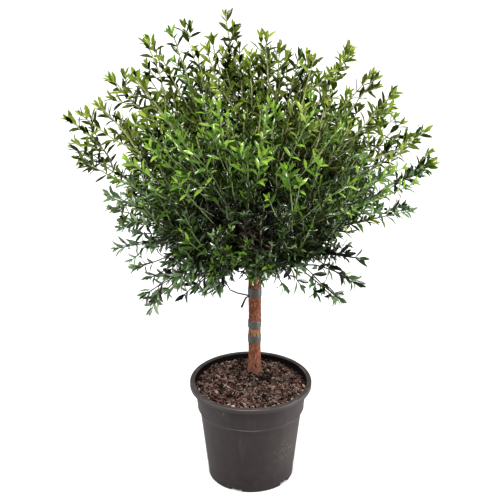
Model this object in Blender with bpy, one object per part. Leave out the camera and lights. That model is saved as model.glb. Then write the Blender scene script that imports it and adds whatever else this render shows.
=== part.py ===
"""A potted myrtle grown as a small standard: nursery pot, compost, one clear stem with its ties, and a
dense round head of leafy shoots. Metres, +Z up, origin at the middle of the pot's flat underside.
"""

import math
import random

import bmesh
import bpy
from mathutils import Quaternion, Vector

# Clearance between pieces that touch
GAP = 0.0003

# Pot
POT_SIDES = 40
POT_HEIGHT = 0.207
POT_WALL = 0.0025
POT_FLOOR = 0.003
BASE_RADIUS = 0.0850
BASE_BEVEL = 0.0012
FOOT_HEIGHT = 0.030
FOOT_RADIUS = 0.0880
FOOT_STEP = 0.0008
BODY_TOP_HEIGHT = 0.1415
BODY_TOP_RADIUS = 0.1003
RIDGE_HEIGHT = 0.1520
RIDGE_RADIUS = 0.1047
COLLAR_TOP_RADIUS = 0.1122
LIP_RADIUS = 0.1200
LIP_DROP = 0.0100
LIP_THICKNESS = 0.0022
LIP_ROUND = 0.0018
MOUTH_RADIUS = 0.1104
MOUTH_ROUND = 0.0014
SHARP_ANGLE = 30.0

# Drain slots in the pot's bottom edge; bearings run from +X, so the front is at -90
SLOT_COUNT = 5
SLOT_FIRST_BEARING = -110.0
SLOT_WIDTH = 0.024
SLOT_HEIGHT = 0.0055
SLOT_DEPTH = 0.012

# Compost
SOIL_EDGE_HEIGHT = 0.195
SOIL_LUMP = 0.0016
SOIL_RINGS = 4
SOIL_PATCH_RADIUS = 0.022

# Trunk
TRUNK_SIDES = 16
TRUNK_X = 0.0071
TRUNK_Y = 0.0370
TRUNK_FOOT = 0.2070
TRUNK_LEAN = 0.0015
FORK_HEIGHT = 0.4880
FLARE_LOBES = 5
BARK_RIBS = 3
BARK_RIB_DEPTH = 0.025
BARK_TWIST = 60.0
# Height above the foot, radius, and share of the radius by which the root lobes stand out
TRUNK_SECTIONS = (
    (0.0000, 0.0150, 0.10),
    (0.0080, 0.0137, 0.07),
    (0.0250, 0.0123, 0.02),
    (0.0500, 0.0119, 0.00),
    (0.1200, 0.0121, 0.00),
    (0.2000, 0.0124, 0.00),
    (0.2350, 0.0132, 0.00),
    (0.2580, 0.0178, 0.00),
    (0.2780, 0.0226, 0.00),
    (0.2920, 0.0200, 0.00),
    (0.2990, 0.0110, 0.00),
)

# Ties round the stem: name, lowest and highest point
TIE_THICKNESS = 0.0014
TIES = (
    ("tie_low", 0.2730, 0.2885),
    ("tie_mid", 0.3050, 0.3207),
    ("tie_high", 0.3733, 0.3915),
)

# Boughs
BOUGH_SIDES = 6
BOUGH_POINTS = 5
BOUGH_REACH = 0.100
BOUGH_BASE_RADIUS = 0.0040
BOUGH_TIP_RADIUS = 0.0027
BOUGH_STRAIGHT = 0.045
BOUGH_END = 0.020

# Tiers of the crown: name, masses, degrees up, first mass's bearing, how far below the fork its boughs
# start, shoots besides the leaders, leaf size, and the share of the reach that its core fills
TIERS = (
    ("top", 1, 89.0, 0.0, -0.004, 6, 1.00, 0.74),
    ("upper", 6, 60.0, 24.0, 0.000, 5, 1.00, 0.72),
    ("middle", 8, 29.0, 11.0, 0.006, 5, 1.00, 0.70),
    ("lower", 7, -5.0, 38.6, 0.014, 5, 0.85, 0.72),
)

# How far the shoots reach from the fork, by degrees up
REACH = (
    (-35.0, 0.185),
    (-10.0, 0.215),
    (0.0, 0.235),
    (12.0, 0.255),
    (20.0, 0.295),
    (28.0, 0.360),
    (40.0, 0.390),
    (60.0, 0.410),
    (90.0, 0.425),
)
CROWN_FLOOR = -35.0

# The crown's skirt is shorter at the front, below this many degrees up
SHORT_SKIRT = 0.24
SKIRT_TOP = 25.0

# The longest shoots, which draw the crown's outline: bearing, degrees up, reach from the fork
LEADERS = (
    (180, 83, 0.446),
    (-155, 69, 0.457),
    (146, 68, 0.433),
    (166, 62, 0.437),
    (-70, 82, 0.420),
    (36, 71, 0.372),
    (-24, 73, 0.390),
    (0, 66, 0.418),
    (16, 54, 0.392),
    (-15, 51, 0.407),
    (20, 37, 0.366),
    (-9, 37, 0.396),
    (0, 26, 0.376),
    (-6, 14, 0.306),
    (-17, -3, 0.214),
    (10, -27, 0.238),
    (-24, -27, 0.203),
    (-62, 31, 0.385),
    (-93, 42, 0.395),
    (-122, 32, 0.385),
    (-160, 57, 0.420),
    (176, 50, 0.420),
    (-168, 45, 0.412),
    (180, 35, 0.430),
    (168, 26, 0.400),
    (-170, 22, 0.305),
    (169, 5, 0.272),
    (-172, 0, 0.272),
    (-165, -22, 0.243),
    (62, 32, 0.385),
    (92, 44, 0.395),
    (121, 33, 0.380),
)

# Shoots
SEED = 41
SHOOT_SPREAD = 24.0
LEADER_MARGIN = 0.003
SHOOT_MARGIN = 0.012
SHOOT_SPACING = 0.048
SHORTEST_REACH = 0.90
SPREAD_STEP = 0.85
GOLDEN_TURN = math.radians(137.5)

# Twigs: a new one leaves the nearest limb, and a sharp turn counts as more distance
STEM_SIDES = 5
STEM_POINTS = 5
STEM_TIP_RADIUS = 0.0012
TWIG_SIDES = 3
TWIG_POINTS = 3
TWIG_BASE_RADIUS = 0.0019
TWIG_TIP_RADIUS = 0.0011
TWIG_LEAST = 0.060
TWIG_BEND = 0.45
TURN_COST = 1.6
NODE_STEP = 0.018
NODES_END = 0.75
SPACE_MARGIN = 0.0006
FOLIAGE_START = 0.1030

# Leaves, larger than life because they are few
LEAF_LENGTH = 0.046
LEAF_WIDTH = 0.0145
LEAF_THICKNESS = 0.0018
LEAF_OFFSET = 0.0004
LEAF_ANGLE = 38.0
LEAF_WIDEST = 0.42
LEAF_PAIRS = (0.46, 0.74)
SMALLEST_LEAF = 0.88
LARGEST_LEAF = 1.08
TIP_LEAF_ROOT = 0.0025
TIP_LEAF_SHARE = 0.90

# The dark middle of a mass, from which its shoots stand out
CORE_SIDES = 7
CORE_START = 0.1120
CORE_DISH = 0.002
CORE_FILL = 0.94
CORE_JITTER = 0.06
CORE_WIDEST = 33.0
LEAVES_FROM = 0.90
# How far out each ring of the core lies, and how much of its space it spans
CORE_RINGS = ((0.0, 0.45), (0.45, 1.0), (0.88, 0.84))

# Colour and roughness
FINISHES = {
    "pot": ((0.060, 0.052, 0.050), 0.62),
    "compost": ((0.045, 0.030, 0.022), 0.95),
    "bark": ((0.300, 0.120, 0.065), 0.85),
    "tie": ((0.100, 0.105, 0.095), 0.60),
    "foliage": ((0.085, 0.160, 0.035), 0.55),
}

UP = Vector((0.0, 0.0, 1.0))
FORK = Vector((TRUNK_X + TRUNK_LEAN, TRUNK_Y, FORK_HEIGHT))


# Objects and shapes

def clear_scene():
    for thing in list(bpy.data.objects):
        bpy.data.objects.remove(thing, do_unlink=True)


def finish_material(name):
    """The Principled material of one finish, made once."""
    found = bpy.data.materials.get(name)
    if found:
        return found
    colour, roughness = FINISHES[name]
    made = bpy.data.materials.new(name)
    made.use_nodes = True
    shader = made.node_tree.nodes["Principled BSDF"]
    shader.inputs["Base Color"].default_value = (*colour, 1.0)
    shader.inputs["Roughness"].default_value = roughness
    shader.inputs["Metallic"].default_value = 0.0
    made.diffuse_color = (*colour, 1.0)
    return made


def make_object(name, bm, finish, collection=None):
    """An object of this mesh, with its faces pointing out."""
    bmesh.ops.recalc_face_normals(bm, faces=bm.faces[:])
    mesh = bpy.data.meshes.new(name)
    bm.to_mesh(mesh)
    bm.free()
    thing = bpy.data.objects.new(name, mesh)
    (collection or bpy.context.scene.collection).objects.link(thing)
    mesh.materials.append(finish_material(finish))
    return thing


def make_helper(thing):
    """Keep a cutter or guide out of the model."""
    thing.hide_render = True
    thing.display_type = "WIRE"


def smooth(thing):
    """Shade a round piece smooth, with its true edges sharp."""
    thing.data.shade_smooth()
    thing.data.set_sharp_from_angle(angle=math.radians(SHARP_ANGLE))


def aim(bearing, elevation):
    """The unit direction at a bearing round from +X and an angle above level, both in degrees."""
    turn = math.radians(bearing)
    rise = math.radians(elevation)
    return Vector((math.cos(rise) * math.cos(turn), math.cos(rise) * math.sin(turn), math.sin(rise)))


def along(table, value):
    """The second number of a two-column table, read off at this value of the first."""
    if value <= table[0][0]:
        return table[0][1]
    for (low, at_low), (high, at_high) in zip(table, table[1:]):
        if value <= high:
            return at_low + (at_high - at_low) * (value - low) / (high - low)
    return table[-1][1]


def circle(centre, radius, sides):
    """Points round a level circle."""
    points = []
    for i in range(sides):
        turn = 2.0 * math.pi * i / sides
        points.append(centre + Vector((math.cos(turn), math.sin(turn), 0.0)) * radius)
    return points


def add_ring(bm, points):
    return [bm.verts.new(point) for point in points]


def bridge(bm, rings):
    """Skin between rings of vertices, each of the same count."""
    for lower, upper in zip(rings, rings[1:]):
        count = len(lower)
        for i in range(count):
            bm.faces.new((lower[i], lower[(i + 1) % count], upper[(i + 1) % count], upper[i]))


def fan(bm, ring, point):
    """Triangles from a ring to one point."""
    centre = bm.verts.new(point)
    for i in range(len(ring)):
        bm.faces.new((ring[i], ring[(i + 1) % len(ring)], centre))


def limb(points, radii, sides):
    """A tapering limb with flat ends, through these points."""
    bm = bmesh.new()
    tangents = []
    for i in range(len(points)):
        ahead = points[min(i + 1, len(points) - 1)]
        behind = points[max(i - 1, 0)]
        tangents.append((ahead - behind).normalized())
    side = tangents[0].orthogonal().normalized()
    rings = []
    for i, (point, radius) in enumerate(zip(points, radii)):
        if i:
            side = tangents[i - 1].rotation_difference(tangents[i]) @ side
        ring = []
        for k in range(sides):
            out = Quaternion(tangents[i], 2.0 * math.pi * k / sides) @ side
            ring.append(point + out * radius)
        rings.append(add_ring(bm, ring))
    bridge(bm, rings)
    bm.faces.new(rings[0])
    bm.faces.new(rings[-1])
    return bm


def curve_points(start, middle, end, count):
    """Points of the smooth curve from start to end that leans towards middle."""
    points = []
    for i in range(count):
        t = i / (count - 1)
        points.append(start * (1.0 - t) ** 2 + middle * (2.0 * t * (1.0 - t)) + end * t ** 2)
    return points


def taper(first, last, count):
    """Radii that run evenly from the first to the last."""
    return [first + (last - first) * i / (count - 1) for i in range(count)]


# Pot and compost

def outer_wall():
    """Radius and height up the pot's outside, from its bottom edge to under the lip."""
    return [
        (BASE_RADIUS, BASE_BEVEL),
        (FOOT_RADIUS - FOOT_STEP, FOOT_HEIGHT),
        (FOOT_RADIUS, FOOT_HEIGHT + FOOT_STEP),
        (BODY_TOP_RADIUS, BODY_TOP_HEIGHT),
        (RIDGE_RADIUS, RIDGE_HEIGHT),
        (COLLAR_TOP_RADIUS, POT_HEIGHT - LIP_THICKNESS),
    ]


def inner_wall(clearance):
    """Radius and height down the pot's inside, from its mouth to its floor, this far in from it."""
    foot_slope = (FOOT_RADIUS - BASE_RADIUS) / FOOT_HEIGHT
    foot = BASE_RADIUS + (POT_FLOOR - BASE_BEVEL) * foot_slope
    return [
        (MOUTH_RADIUS - clearance, POT_HEIGHT - MOUTH_ROUND),
        (RIDGE_RADIUS - POT_WALL - clearance, RIDGE_HEIGHT),
        (BODY_TOP_RADIUS - POT_WALL - clearance, BODY_TOP_HEIGHT),
        (foot - POT_WALL - clearance, POT_FLOOR + clearance),
    ]


def make_pot():
    """A thin turned pot with a rolled lip that hangs clear of its collar, and slots in its bottom edge."""
    lip_top = POT_HEIGHT - LIP_THICKNESS
    lip_bottom = POT_HEIGHT - LIP_DROP
    profile = [(BASE_RADIUS - BASE_BEVEL, 0.0)]
    profile += outer_wall()
    profile += [
        (LIP_RADIUS - LIP_THICKNESS, lip_top),
        (LIP_RADIUS - LIP_THICKNESS, lip_bottom),
        (LIP_RADIUS, lip_bottom),
        (LIP_RADIUS, POT_HEIGHT - LIP_ROUND),
        (LIP_RADIUS - LIP_ROUND, POT_HEIGHT),
        (MOUTH_RADIUS + MOUTH_ROUND, POT_HEIGHT),
    ]
    profile += inner_wall(0.0)
    bm = bmesh.new()
    rings = [add_ring(bm, circle(UP * height, radius, POT_SIDES)) for radius, height in profile]
    bridge(bm, rings)
    fan(bm, rings[0], (0.0, 0.0, 0.0))
    fan(bm, rings[-1], (0.0, 0.0, POT_FLOOR))
    pot = make_object("pot", bm, "pot")
    cutters = bpy.data.collections.new("drain_slots")
    bpy.context.scene.collection.children.link(cutters)
    for i in range(SLOT_COUNT):
        make_slot_cutter(i, cutters)
    cut = pot.modifiers.new("drain_slots", "BOOLEAN")
    cut.operation = "DIFFERENCE"
    cut.operand_type = "COLLECTION"
    cut.collection = cutters
    smooth(pot)


def make_slot_cutter(index, collection):
    """A block across the pot's bottom edge, which cuts one drain slot."""
    bm = bmesh.new()
    bmesh.ops.create_cube(bm, size=1.0)
    for vert in bm.verts:
        vert.co.x = vert.co.x * 2.0 * SLOT_DEPTH + BASE_RADIUS
        vert.co.y *= SLOT_WIDTH
        vert.co.z = SLOT_HEIGHT if vert.co.z > 0.0 else -SLOT_HEIGHT
    cutter = make_object(f"drain_slot_cutter_{index + 1}", bm, "pot", collection)
    cutter.rotation_euler.z = math.radians(SLOT_FIRST_BEARING + 360.0 / SLOT_COUNT * index)
    make_helper(cutter)


def make_compost():
    """The compost that fills the pot, under a lumpy top that rises to a level patch round the trunk."""
    rng = random.Random(SEED)
    wall = inner_wall(GAP)
    edge_radius = along(sorted((height, radius) for radius, height in wall), SOIL_EDGE_HEIGHT)
    patch = Vector((TRUNK_X, TRUNK_Y, TRUNK_FOOT - GAP))
    edge = UP * SOIL_EDGE_HEIGHT
    bm = bmesh.new()
    rings = []
    for k in range(SOIL_RINGS + 1):
        share = k / SOIL_RINGS
        fall = share * share * (3.0 - 2.0 * share)
        centre = patch.lerp(edge, share)
        centre.z = patch.z + (edge.z - patch.z) * fall
        radius = SOIL_PATCH_RADIUS + (edge_radius - SOIL_PATCH_RADIUS) * share
        points = circle(centre, radius, POT_SIDES)
        if 0 < k < SOIL_RINGS:
            points = [point + UP * rng.uniform(-SOIL_LUMP, SOIL_LUMP) for point in points]
        rings.append(add_ring(bm, points))
    for radius, height in wall[1:]:
        rings.append(add_ring(bm, circle(UP * height, radius, POT_SIDES)))
    bridge(bm, rings)
    fan(bm, rings[0], patch)
    fan(bm, rings[-1], UP * wall[-1][1])
    make_object("compost", bm, "compost")


# Trunk, ties and boughs

def trunk_centre(height):
    lean = TRUNK_LEAN * (height - TRUNK_FOOT) / (FORK_HEIGHT - TRUNK_FOOT)
    return Vector((TRUNK_X + lean, TRUNK_Y, height))


def trunk_outline(height, clearance):
    """Points round the trunk at this height, this far outside its bark."""
    above = height - TRUNK_FOOT
    radius = along([(up, radius) for up, radius, _ in TRUNK_SECTIONS], above)
    lobes = along([(up, lobes) for up, _, lobes in TRUNK_SECTIONS], above)
    points = []
    for i in range(TRUNK_SIDES):
        turn = 2.0 * math.pi * i / TRUNK_SIDES
        ribs = BARK_RIB_DEPTH * math.sin(BARK_RIBS * turn + BARK_TWIST * above)
        flare = lobes * math.cos(FLARE_LOBES * turn)
        out = Vector((math.cos(turn), math.sin(turn), 0.0))
        points.append(trunk_centre(height) + out * (radius * (1.0 + ribs + flare) + clearance))
    return points


def trunk_body(clearance):
    """The trunk's mesh from its flat foot to its knuckled head, grown by this much all over."""
    heights = {round(TRUNK_FOOT + up, 6) for up, _, _ in TRUNK_SECTIONS}
    for _, low, high in TIES:
        heights.update((low, high))
    heights = sorted(heights)
    shifts = {heights[0]: -clearance, heights[-1]: clearance}
    bm = bmesh.new()
    rings = []
    for height in heights:
        rise = UP * shifts.get(height, 0.0)
        rings.append(add_ring(bm, [point + rise for point in trunk_outline(height, clearance)]))
    bridge(bm, rings)
    bm.faces.new(rings[0])
    bm.faces.new(rings[-1])
    return bm


def make_trunk():
    smooth(make_object("trunk", trunk_body(0.0), "bark"))


def make_tie(name, low, high):
    """A soft band round the stem."""
    inner = GAP
    outer = GAP + TIE_THICKNESS
    bm = bmesh.new()
    rings = []
    for height, clearance in ((low, inner), (low, outer), (high, outer), (high, inner)):
        rings.append(add_ring(bm, trunk_outline(height, clearance)))
    bridge(bm, rings + rings[:1])
    smooth(make_object(name, bm, "tie"))


def make_bough(name, direction, drop, grown_trunk):
    """One bough, from inside the trunk's head to the foot of its mass, with its root cut to fit the bark."""
    start = trunk_centre(FORK_HEIGHT - drop)
    end = FORK + direction * (BOUGH_REACH - GAP)
    points = curve_points(start, end - direction * BOUGH_STRAIGHT, end, BOUGH_POINTS)
    points[-2] = end - direction * BOUGH_END
    radii = taper(BOUGH_BASE_RADIUS, BOUGH_TIP_RADIUS, BOUGH_POINTS)
    bough = make_object(name, limb(points, radii, BOUGH_SIDES), "bark")
    cut = bough.modifiers.new("trunk_fit", "BOOLEAN")
    cut.operation = "DIFFERENCE"
    cut.object = grown_trunk


# Crown

def tier_masses():
    """Name, direction, and the rest of its tier's row, for each mass."""
    masses = []
    for tier, count, elevation, first, *rest in TIERS:
        for i in range(count):
            name = tier if count == 1 else f"{tier}_{i + 1}"
            masses.append((name, aim(first + 360.0 / count * i, elevation), *rest))
    return masses


def crown_reach(direction):
    """How far the crown reaches from the fork this way."""
    elevation = math.degrees(math.asin(max(-1.0, min(1.0, direction.z))))
    level = Vector((direction.x, direction.y, 0.0)).normalized()
    facing = max(0.0, -level.y)
    low = max(0.0, min(1.0, 1.0 - elevation / SKIRT_TOP))
    return along(REACH, elevation) * (1.0 - SHORT_SKIRT * facing * low)


def space_walls(direction, directions):
    """The inward normals of the flat walls through the fork that bound a mass's space: one to each
    neighbour, and one below it."""
    walls = [(direction - other).normalized() for other in directions if other != direction]
    level = Vector((direction.x, direction.y, 0.0)).normalized()
    floor = math.radians(-CROWN_FLOOR)
    walls.append(level * math.sin(floor) + UP * math.cos(floor))
    return walls


def in_space(point, walls, margin):
    """Whether a point lies in a mass's own space, this far clear of every wall."""
    from_fork = point - FORK
    return all(from_fork.dot(wall) > margin for wall in walls)


def fits(bm, walls):
    """Whether every corner of a twig or leaf is in the space and clear of the boughs."""
    for vert in bm.verts:
        if (vert.co - FORK).length < FOLIAGE_START or not in_space(vert.co, walls, SPACE_MARGIN):
            return False
    return True


def shoot_tips(direction, walls, shoots, rng):
    """Where the shoots of one mass end: its leaders, then others spread evenly through its space."""
    tips = []
    for bearing, elevation, reach in LEADERS:
        tip = FORK + aim(bearing, elevation) * reach
        if in_space(tip, walls, LEADER_MARGIN):
            tips.append(tip)
    side = direction.orthogonal().normalized()
    for i in range(shoots):
        out = Quaternion(direction, GOLDEN_TURN * i) @ side
        spread = math.radians(SHOOT_SPREAD) * math.sqrt((i + 0.5) / shoots)
        tip = spread_tip(direction, out, spread, rng)
        while not in_space(tip, walls, SHOOT_MARGIN):
            spread *= SPREAD_STEP
            tip = spread_tip(direction, out, spread, rng)
        if all((tip - other).length > SHOOT_SPACING for other in tips):
            tips.append(tip)
    return tips


def spread_tip(direction, out, spread, rng):
    """The end of a shoot that leaves a mass's middle line by this angle."""
    way = direction * math.cos(spread) + out * math.sin(spread)
    return FORK + way * crown_reach(way) * rng.uniform(SHORTEST_REACH, 1.0)


def best_node(nodes, tip):
    """The point already grown that a new shoot leaves from: near its tip, and not at a sharp turn."""
    best = nodes[0]
    least = math.inf
    for point, heading in nodes:
        run = tip - point
        cost = run.length * (1.0 + TURN_COST * (1.0 - run.normalized().dot(heading)))
        if TWIG_LEAST < run.length and cost < least:
            best = (point, heading)
            least = cost
    return best


def leaf(root, heading, across, size):
    """A pointed leaf of six faces with a keel below, thickest and widest nearer its root."""
    bm = bmesh.new()
    keel = heading.cross(across).normalized() * LEAF_THICKNESS
    belly = root + heading * (LEAF_LENGTH * size * LEAF_WIDEST)
    half = across * (LEAF_WIDTH * size * 0.5)
    ring = add_ring(bm, (belly + half, belly - half, belly + keel))
    fan(bm, ring, root)
    fan(bm, ring, root + heading * (LEAF_LENGTH * size))
    return bm


def point_on(points, share):
    """The point this share of the way along a limb."""
    place = share * (len(points) - 1)
    index = min(int(place), len(points) - 2)
    return points[index].lerp(points[index + 1], place - index)


def shoot_leaves(points, leaf_size, start, rng):
    """Leaves in pairs set crosswise along a shoot, from this far out of the fork, and one at its tip."""
    heading = (points[-1] - points[-2]).normalized()
    side = Quaternion(heading, rng.uniform(0.0, math.pi)) @ heading.orthogonal().normalized()
    angle = math.radians(LEAF_ANGLE)
    leaves = [leaf(points[-1] - heading * TIP_LEAF_ROOT, heading, side, leaf_size)]
    for i, share in enumerate(LEAF_PAIRS):
        spot = point_on(points, share)
        if (spot - FORK).length < start:
            continue
        pair_side = Quaternion(heading, math.pi * 0.5 * i) @ side
        for sign in (1.0, -1.0):
            way = heading * math.cos(angle) + pair_side * (sign * math.sin(angle))
            root = spot + heading * (sign * LEAF_OFFSET)
            across = way.cross(heading).normalized()
            size = leaf_size * rng.uniform(SMALLEST_LEAF, LARGEST_LEAF)
            leaves.append(leaf(root, way, across, size))
    return leaves


def core(direction, walls, share_of_reach, rng):
    """A rounded lump that fills the dense middle of a mass's space."""
    side = direction.orthogonal().normalized()
    bm = bmesh.new()
    rings = []
    for depth, width in CORE_RINGS:
        ring = []
        for i in range(CORE_SIDES):
            out = Quaternion(direction, 2.0 * math.pi * i / CORE_SIDES) @ side
            spread = math.radians(CORE_WIDEST)
            for wall in walls:
                if out.dot(wall) < 0.0:
                    spread = min(spread, math.atan2(direction.dot(wall), -out.dot(wall)))
            spread *= CORE_FILL * width * (1.0 - CORE_JITTER * rng.random())
            way = direction * math.cos(spread) + out * math.sin(spread)
            outer = max(crown_reach(way) * share_of_reach, CORE_START)
            ring.append(FORK + way * (CORE_START + (outer - CORE_START) * depth))
        rings.append(add_ring(bm, ring))
    bridge(bm, rings)
    fan(bm, rings[0], FORK + direction * (CORE_START + CORE_DISH))
    fan(bm, rings[-1], FORK + direction * (crown_reach(direction) * share_of_reach))
    bmesh.ops.triangulate(bm, faces=bm.faces[:])
    return bm


def stem_points(direction, tip):
    """The main stem of a mass, which carries on in line with its bough and then bends to its tip."""
    foot = FORK + direction * (BOUGH_REACH + GAP)
    points = curve_points(foot, foot + direction * ((tip - foot).length * TWIG_BEND), tip, STEM_POINTS)
    points[1] = foot + direction * (points[1] - foot).length
    return points


def twig_points(nodes, tip):
    """A twig from the best point already grown, which leaves along its limb and bends to its tip."""
    point, heading = best_node(nodes, tip)
    run = tip - point
    bend = point + (heading + run.normalized()).normalized() * (run.length * TWIG_BEND)
    return curve_points(point, bend, tip, TWIG_POINTS)


def add_nodes(nodes, points, is_stem):
    """Note the points along a new limb that later twigs may leave from."""
    steps = max(3, int((points[-1] - points[0]).length / NODE_STEP))
    for i in range(1, steps):
        share = i / steps
        here = point_on(points, share)
        ahead = point_on(points, share + 0.5 / steps)
        if share < NODES_END and (is_stem or (here - FORK).length > CORE_START):
            nodes.append((here, (ahead - here).normalized()))


def grow_mass(name, direction, directions, shoots, leaf_size, core_share, rng):
    """One mass of foliage: a stem from its bough, twigs from the nearest limb, leaves, and its core."""
    walls = space_walls(direction, directions)
    tips = shoot_tips(direction, walls, shoots, rng)
    stem_tip = max(tips, key=lambda tip: (tip - FORK).normalized().dot(direction))
    tips.remove(stem_tip)
    tips.sort(key=lambda tip: (tip - FORK).length)
    leaves_start = crown_reach(direction) * core_share * LEAVES_FROM
    nodes = []
    pieces = []
    for k, tip in enumerate([stem_tip] + tips):
        is_stem = k == 0
        limb_tip = tip - (tip - FORK).normalized() * (LEAF_LENGTH * leaf_size * TIP_LEAF_SHARE)
        if is_stem:
            points = stem_points(direction, limb_tip)
            twig = limb(points, taper(BOUGH_TIP_RADIUS, STEM_TIP_RADIUS, STEM_POINTS), STEM_SIDES)
        else:
            points = twig_points(nodes, limb_tip)
            twig = limb(points, taper(TWIG_BASE_RADIUS, TWIG_TIP_RADIUS, TWIG_POINTS), TWIG_SIDES)
            if not fits(twig, walls):
                continue
        pieces.append(twig)
        leaves = shoot_leaves(points, leaf_size, leaves_start, rng)
        pieces.extend(bm for bm in leaves if fits(bm, walls))
        add_nodes(nodes, points, is_stem)
    fuse(f"foliage_{name}", core(direction, walls, core_share, rng), pieces)


def fuse(name, body, pieces):
    """One closed solid of a core with its twigs and leaves."""
    mass = make_object(name, body, "foliage")
    parts = bpy.data.collections.new(name + "_pieces")
    bpy.context.scene.collection.children.link(parts)
    for i, bm in enumerate(pieces):
        make_object(f"{name}_piece_{i + 1}", bm, "foliage", parts)
    join = mass.modifiers.new("fuse", "BOOLEAN")
    join.operation = "UNION"
    join.operand_type = "COLLECTION"
    join.collection = parts
    depsgraph = bpy.context.evaluated_depsgraph_get()
    fused = bpy.data.meshes.new_from_object(mass.evaluated_get(depsgraph))
    mass.modifiers.clear()
    mass.data = fused
    for piece in list(parts.objects):
        bpy.data.objects.remove(piece, do_unlink=True)
    bpy.data.collections.remove(parts)
    keep_outer_skin(fused)


def keep_outer_skin(mesh):
    """Fill the hollows that fusing sealed and drop loose scraps, by keeping only the largest skin."""
    bm = bmesh.new()
    bm.from_mesh(mesh)
    unseen = set(bm.verts)
    skins = []
    while unseen:
        found = [unseen.pop()]
        skin = set(found)
        while found:
            for edge in found.pop().link_edges:
                for vert in edge.verts:
                    if vert in unseen:
                        unseen.remove(vert)
                        skin.add(vert)
                        found.append(vert)
        skins.append(skin)
    largest = max(skins, key=len)
    spare = [vert for vert in bm.verts if vert not in largest]
    bmesh.ops.delete(bm, geom=spare, context="VERTS")
    bmesh.ops.triangulate(bm, faces=bm.faces[:])
    bm.to_mesh(mesh)
    bm.free()


def make_crown():
    """The boughs and the masses of foliage that they carry."""
    grown_trunk = make_object("trunk_clearance", trunk_body(GAP), "bark")
    make_helper(grown_trunk)
    masses = tier_masses()
    directions = [mass[1] for mass in masses]
    for i, (name, direction, drop, *growth) in enumerate(masses):
        make_bough(f"bough_{name}", direction, drop, grown_trunk)
        grow_mass(name, direction, directions, *growth, random.Random(SEED + i))


def main():
    clear_scene()
    make_pot()
    make_compost()
    make_trunk()
    for name, low, high in TIES:
        make_tie(name, low, high)
    make_crown()


main()
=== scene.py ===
"""The visible surfaces of a potted myrtle standard: pot, compost, bark, ties, twigs and leaves, with a
plain studio round them. Metres, +Z up, in the same frame as the solid model.
"""

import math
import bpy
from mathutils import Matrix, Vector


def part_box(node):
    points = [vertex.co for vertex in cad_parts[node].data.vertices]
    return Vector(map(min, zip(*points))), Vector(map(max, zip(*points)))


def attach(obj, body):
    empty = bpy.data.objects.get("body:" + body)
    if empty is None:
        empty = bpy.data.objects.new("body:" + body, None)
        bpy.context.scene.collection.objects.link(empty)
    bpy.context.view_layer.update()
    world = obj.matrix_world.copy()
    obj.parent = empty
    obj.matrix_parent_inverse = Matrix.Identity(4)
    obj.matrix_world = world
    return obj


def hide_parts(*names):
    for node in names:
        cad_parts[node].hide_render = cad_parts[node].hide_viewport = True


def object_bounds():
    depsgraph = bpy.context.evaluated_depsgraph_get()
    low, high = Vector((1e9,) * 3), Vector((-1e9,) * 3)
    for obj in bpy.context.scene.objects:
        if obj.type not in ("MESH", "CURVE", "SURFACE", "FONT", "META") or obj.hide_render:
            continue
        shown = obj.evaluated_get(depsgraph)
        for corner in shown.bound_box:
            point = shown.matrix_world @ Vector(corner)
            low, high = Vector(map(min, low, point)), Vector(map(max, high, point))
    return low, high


bl_info = {
    "name": "Potted Myrtle",
    "version": (1, 0, 0),
    "blender": (4, 5, 0),
    "location": "View3D > Sidebar > Myrtle",
    "description": "Dresses the solid model of a potted myrtle with its pot, compost, bark and foliage",
    "category": "Object",
}

from typing import NamedTuple

import bpy
import numpy as np
from bpy.props import FloatProperty, FloatVectorProperty, IntProperty, PointerProperty
from mathutils import Vector, noise

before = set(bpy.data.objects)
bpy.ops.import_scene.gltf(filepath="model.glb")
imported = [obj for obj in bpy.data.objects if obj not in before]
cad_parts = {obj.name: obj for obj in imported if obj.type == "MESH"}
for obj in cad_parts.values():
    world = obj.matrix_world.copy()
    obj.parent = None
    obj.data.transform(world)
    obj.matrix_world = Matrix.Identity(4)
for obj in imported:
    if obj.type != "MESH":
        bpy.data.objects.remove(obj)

CAD_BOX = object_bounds()
BODY = "root"

# Pot profile, as in the solid model
POT_WALL = 0.0025
BASE_RADIUS = 0.0850
FOOT_HEIGHT = 0.030
FOOT_RADIUS = 0.0880
FOOT_STEP = 0.0008
BASE_BEVEL = 0.0012
BODY_TOP_HEIGHT = 0.1415
BODY_TOP_RADIUS = 0.1003
RIDGE_HEIGHT = 0.1520
RIDGE_RADIUS = 0.1047
COLLAR_TOP_RADIUS = 0.1122
LIP_DROP = 0.0100
LIP_THICKNESS = 0.0022
MOUTH_RADIUS = 0.1104
POT_FLOOR = 0.003
SLOT_COUNT = 5
SLOT_FIRST_BEARING = -110.0
SLOT_WIDTH = 0.024
SLOT_HEIGHT = 0.0055
SLOT_DEPTH = 0.012

# Rounds, grooves and panels that are too fine for the solid model
MIDDLE_RADIUS = 0.0100
SHOULDER_ROUND = 0.0030
RIDGE_SLOPE = (0.0012, 0.0042)
RIDGE_BEAD = 0.0008
COLLAR_START = (RIDGE_RADIUS + 0.0002, RIDGE_HEIGHT + 0.0014)
LIP_INSIDE_START = 0.0004
LIP_SIDE_START = 0.0018
LIP_ROUND = 0.0022
LIP_GROOVES = (0.0040, 0.0062)
GROOVE_HALF_WIDTH = 0.0006
GROOVE_DEPTH = 0.00035
MOUTH_ROUND = 0.0014
MOUTH_START = 0.0020
MOUTH_SLACK = 0.0002
PANEL_DEPTH = 0.00022
PANEL_FADE = 0.02
POT_SHARP_ANGLE = 35.0

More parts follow.
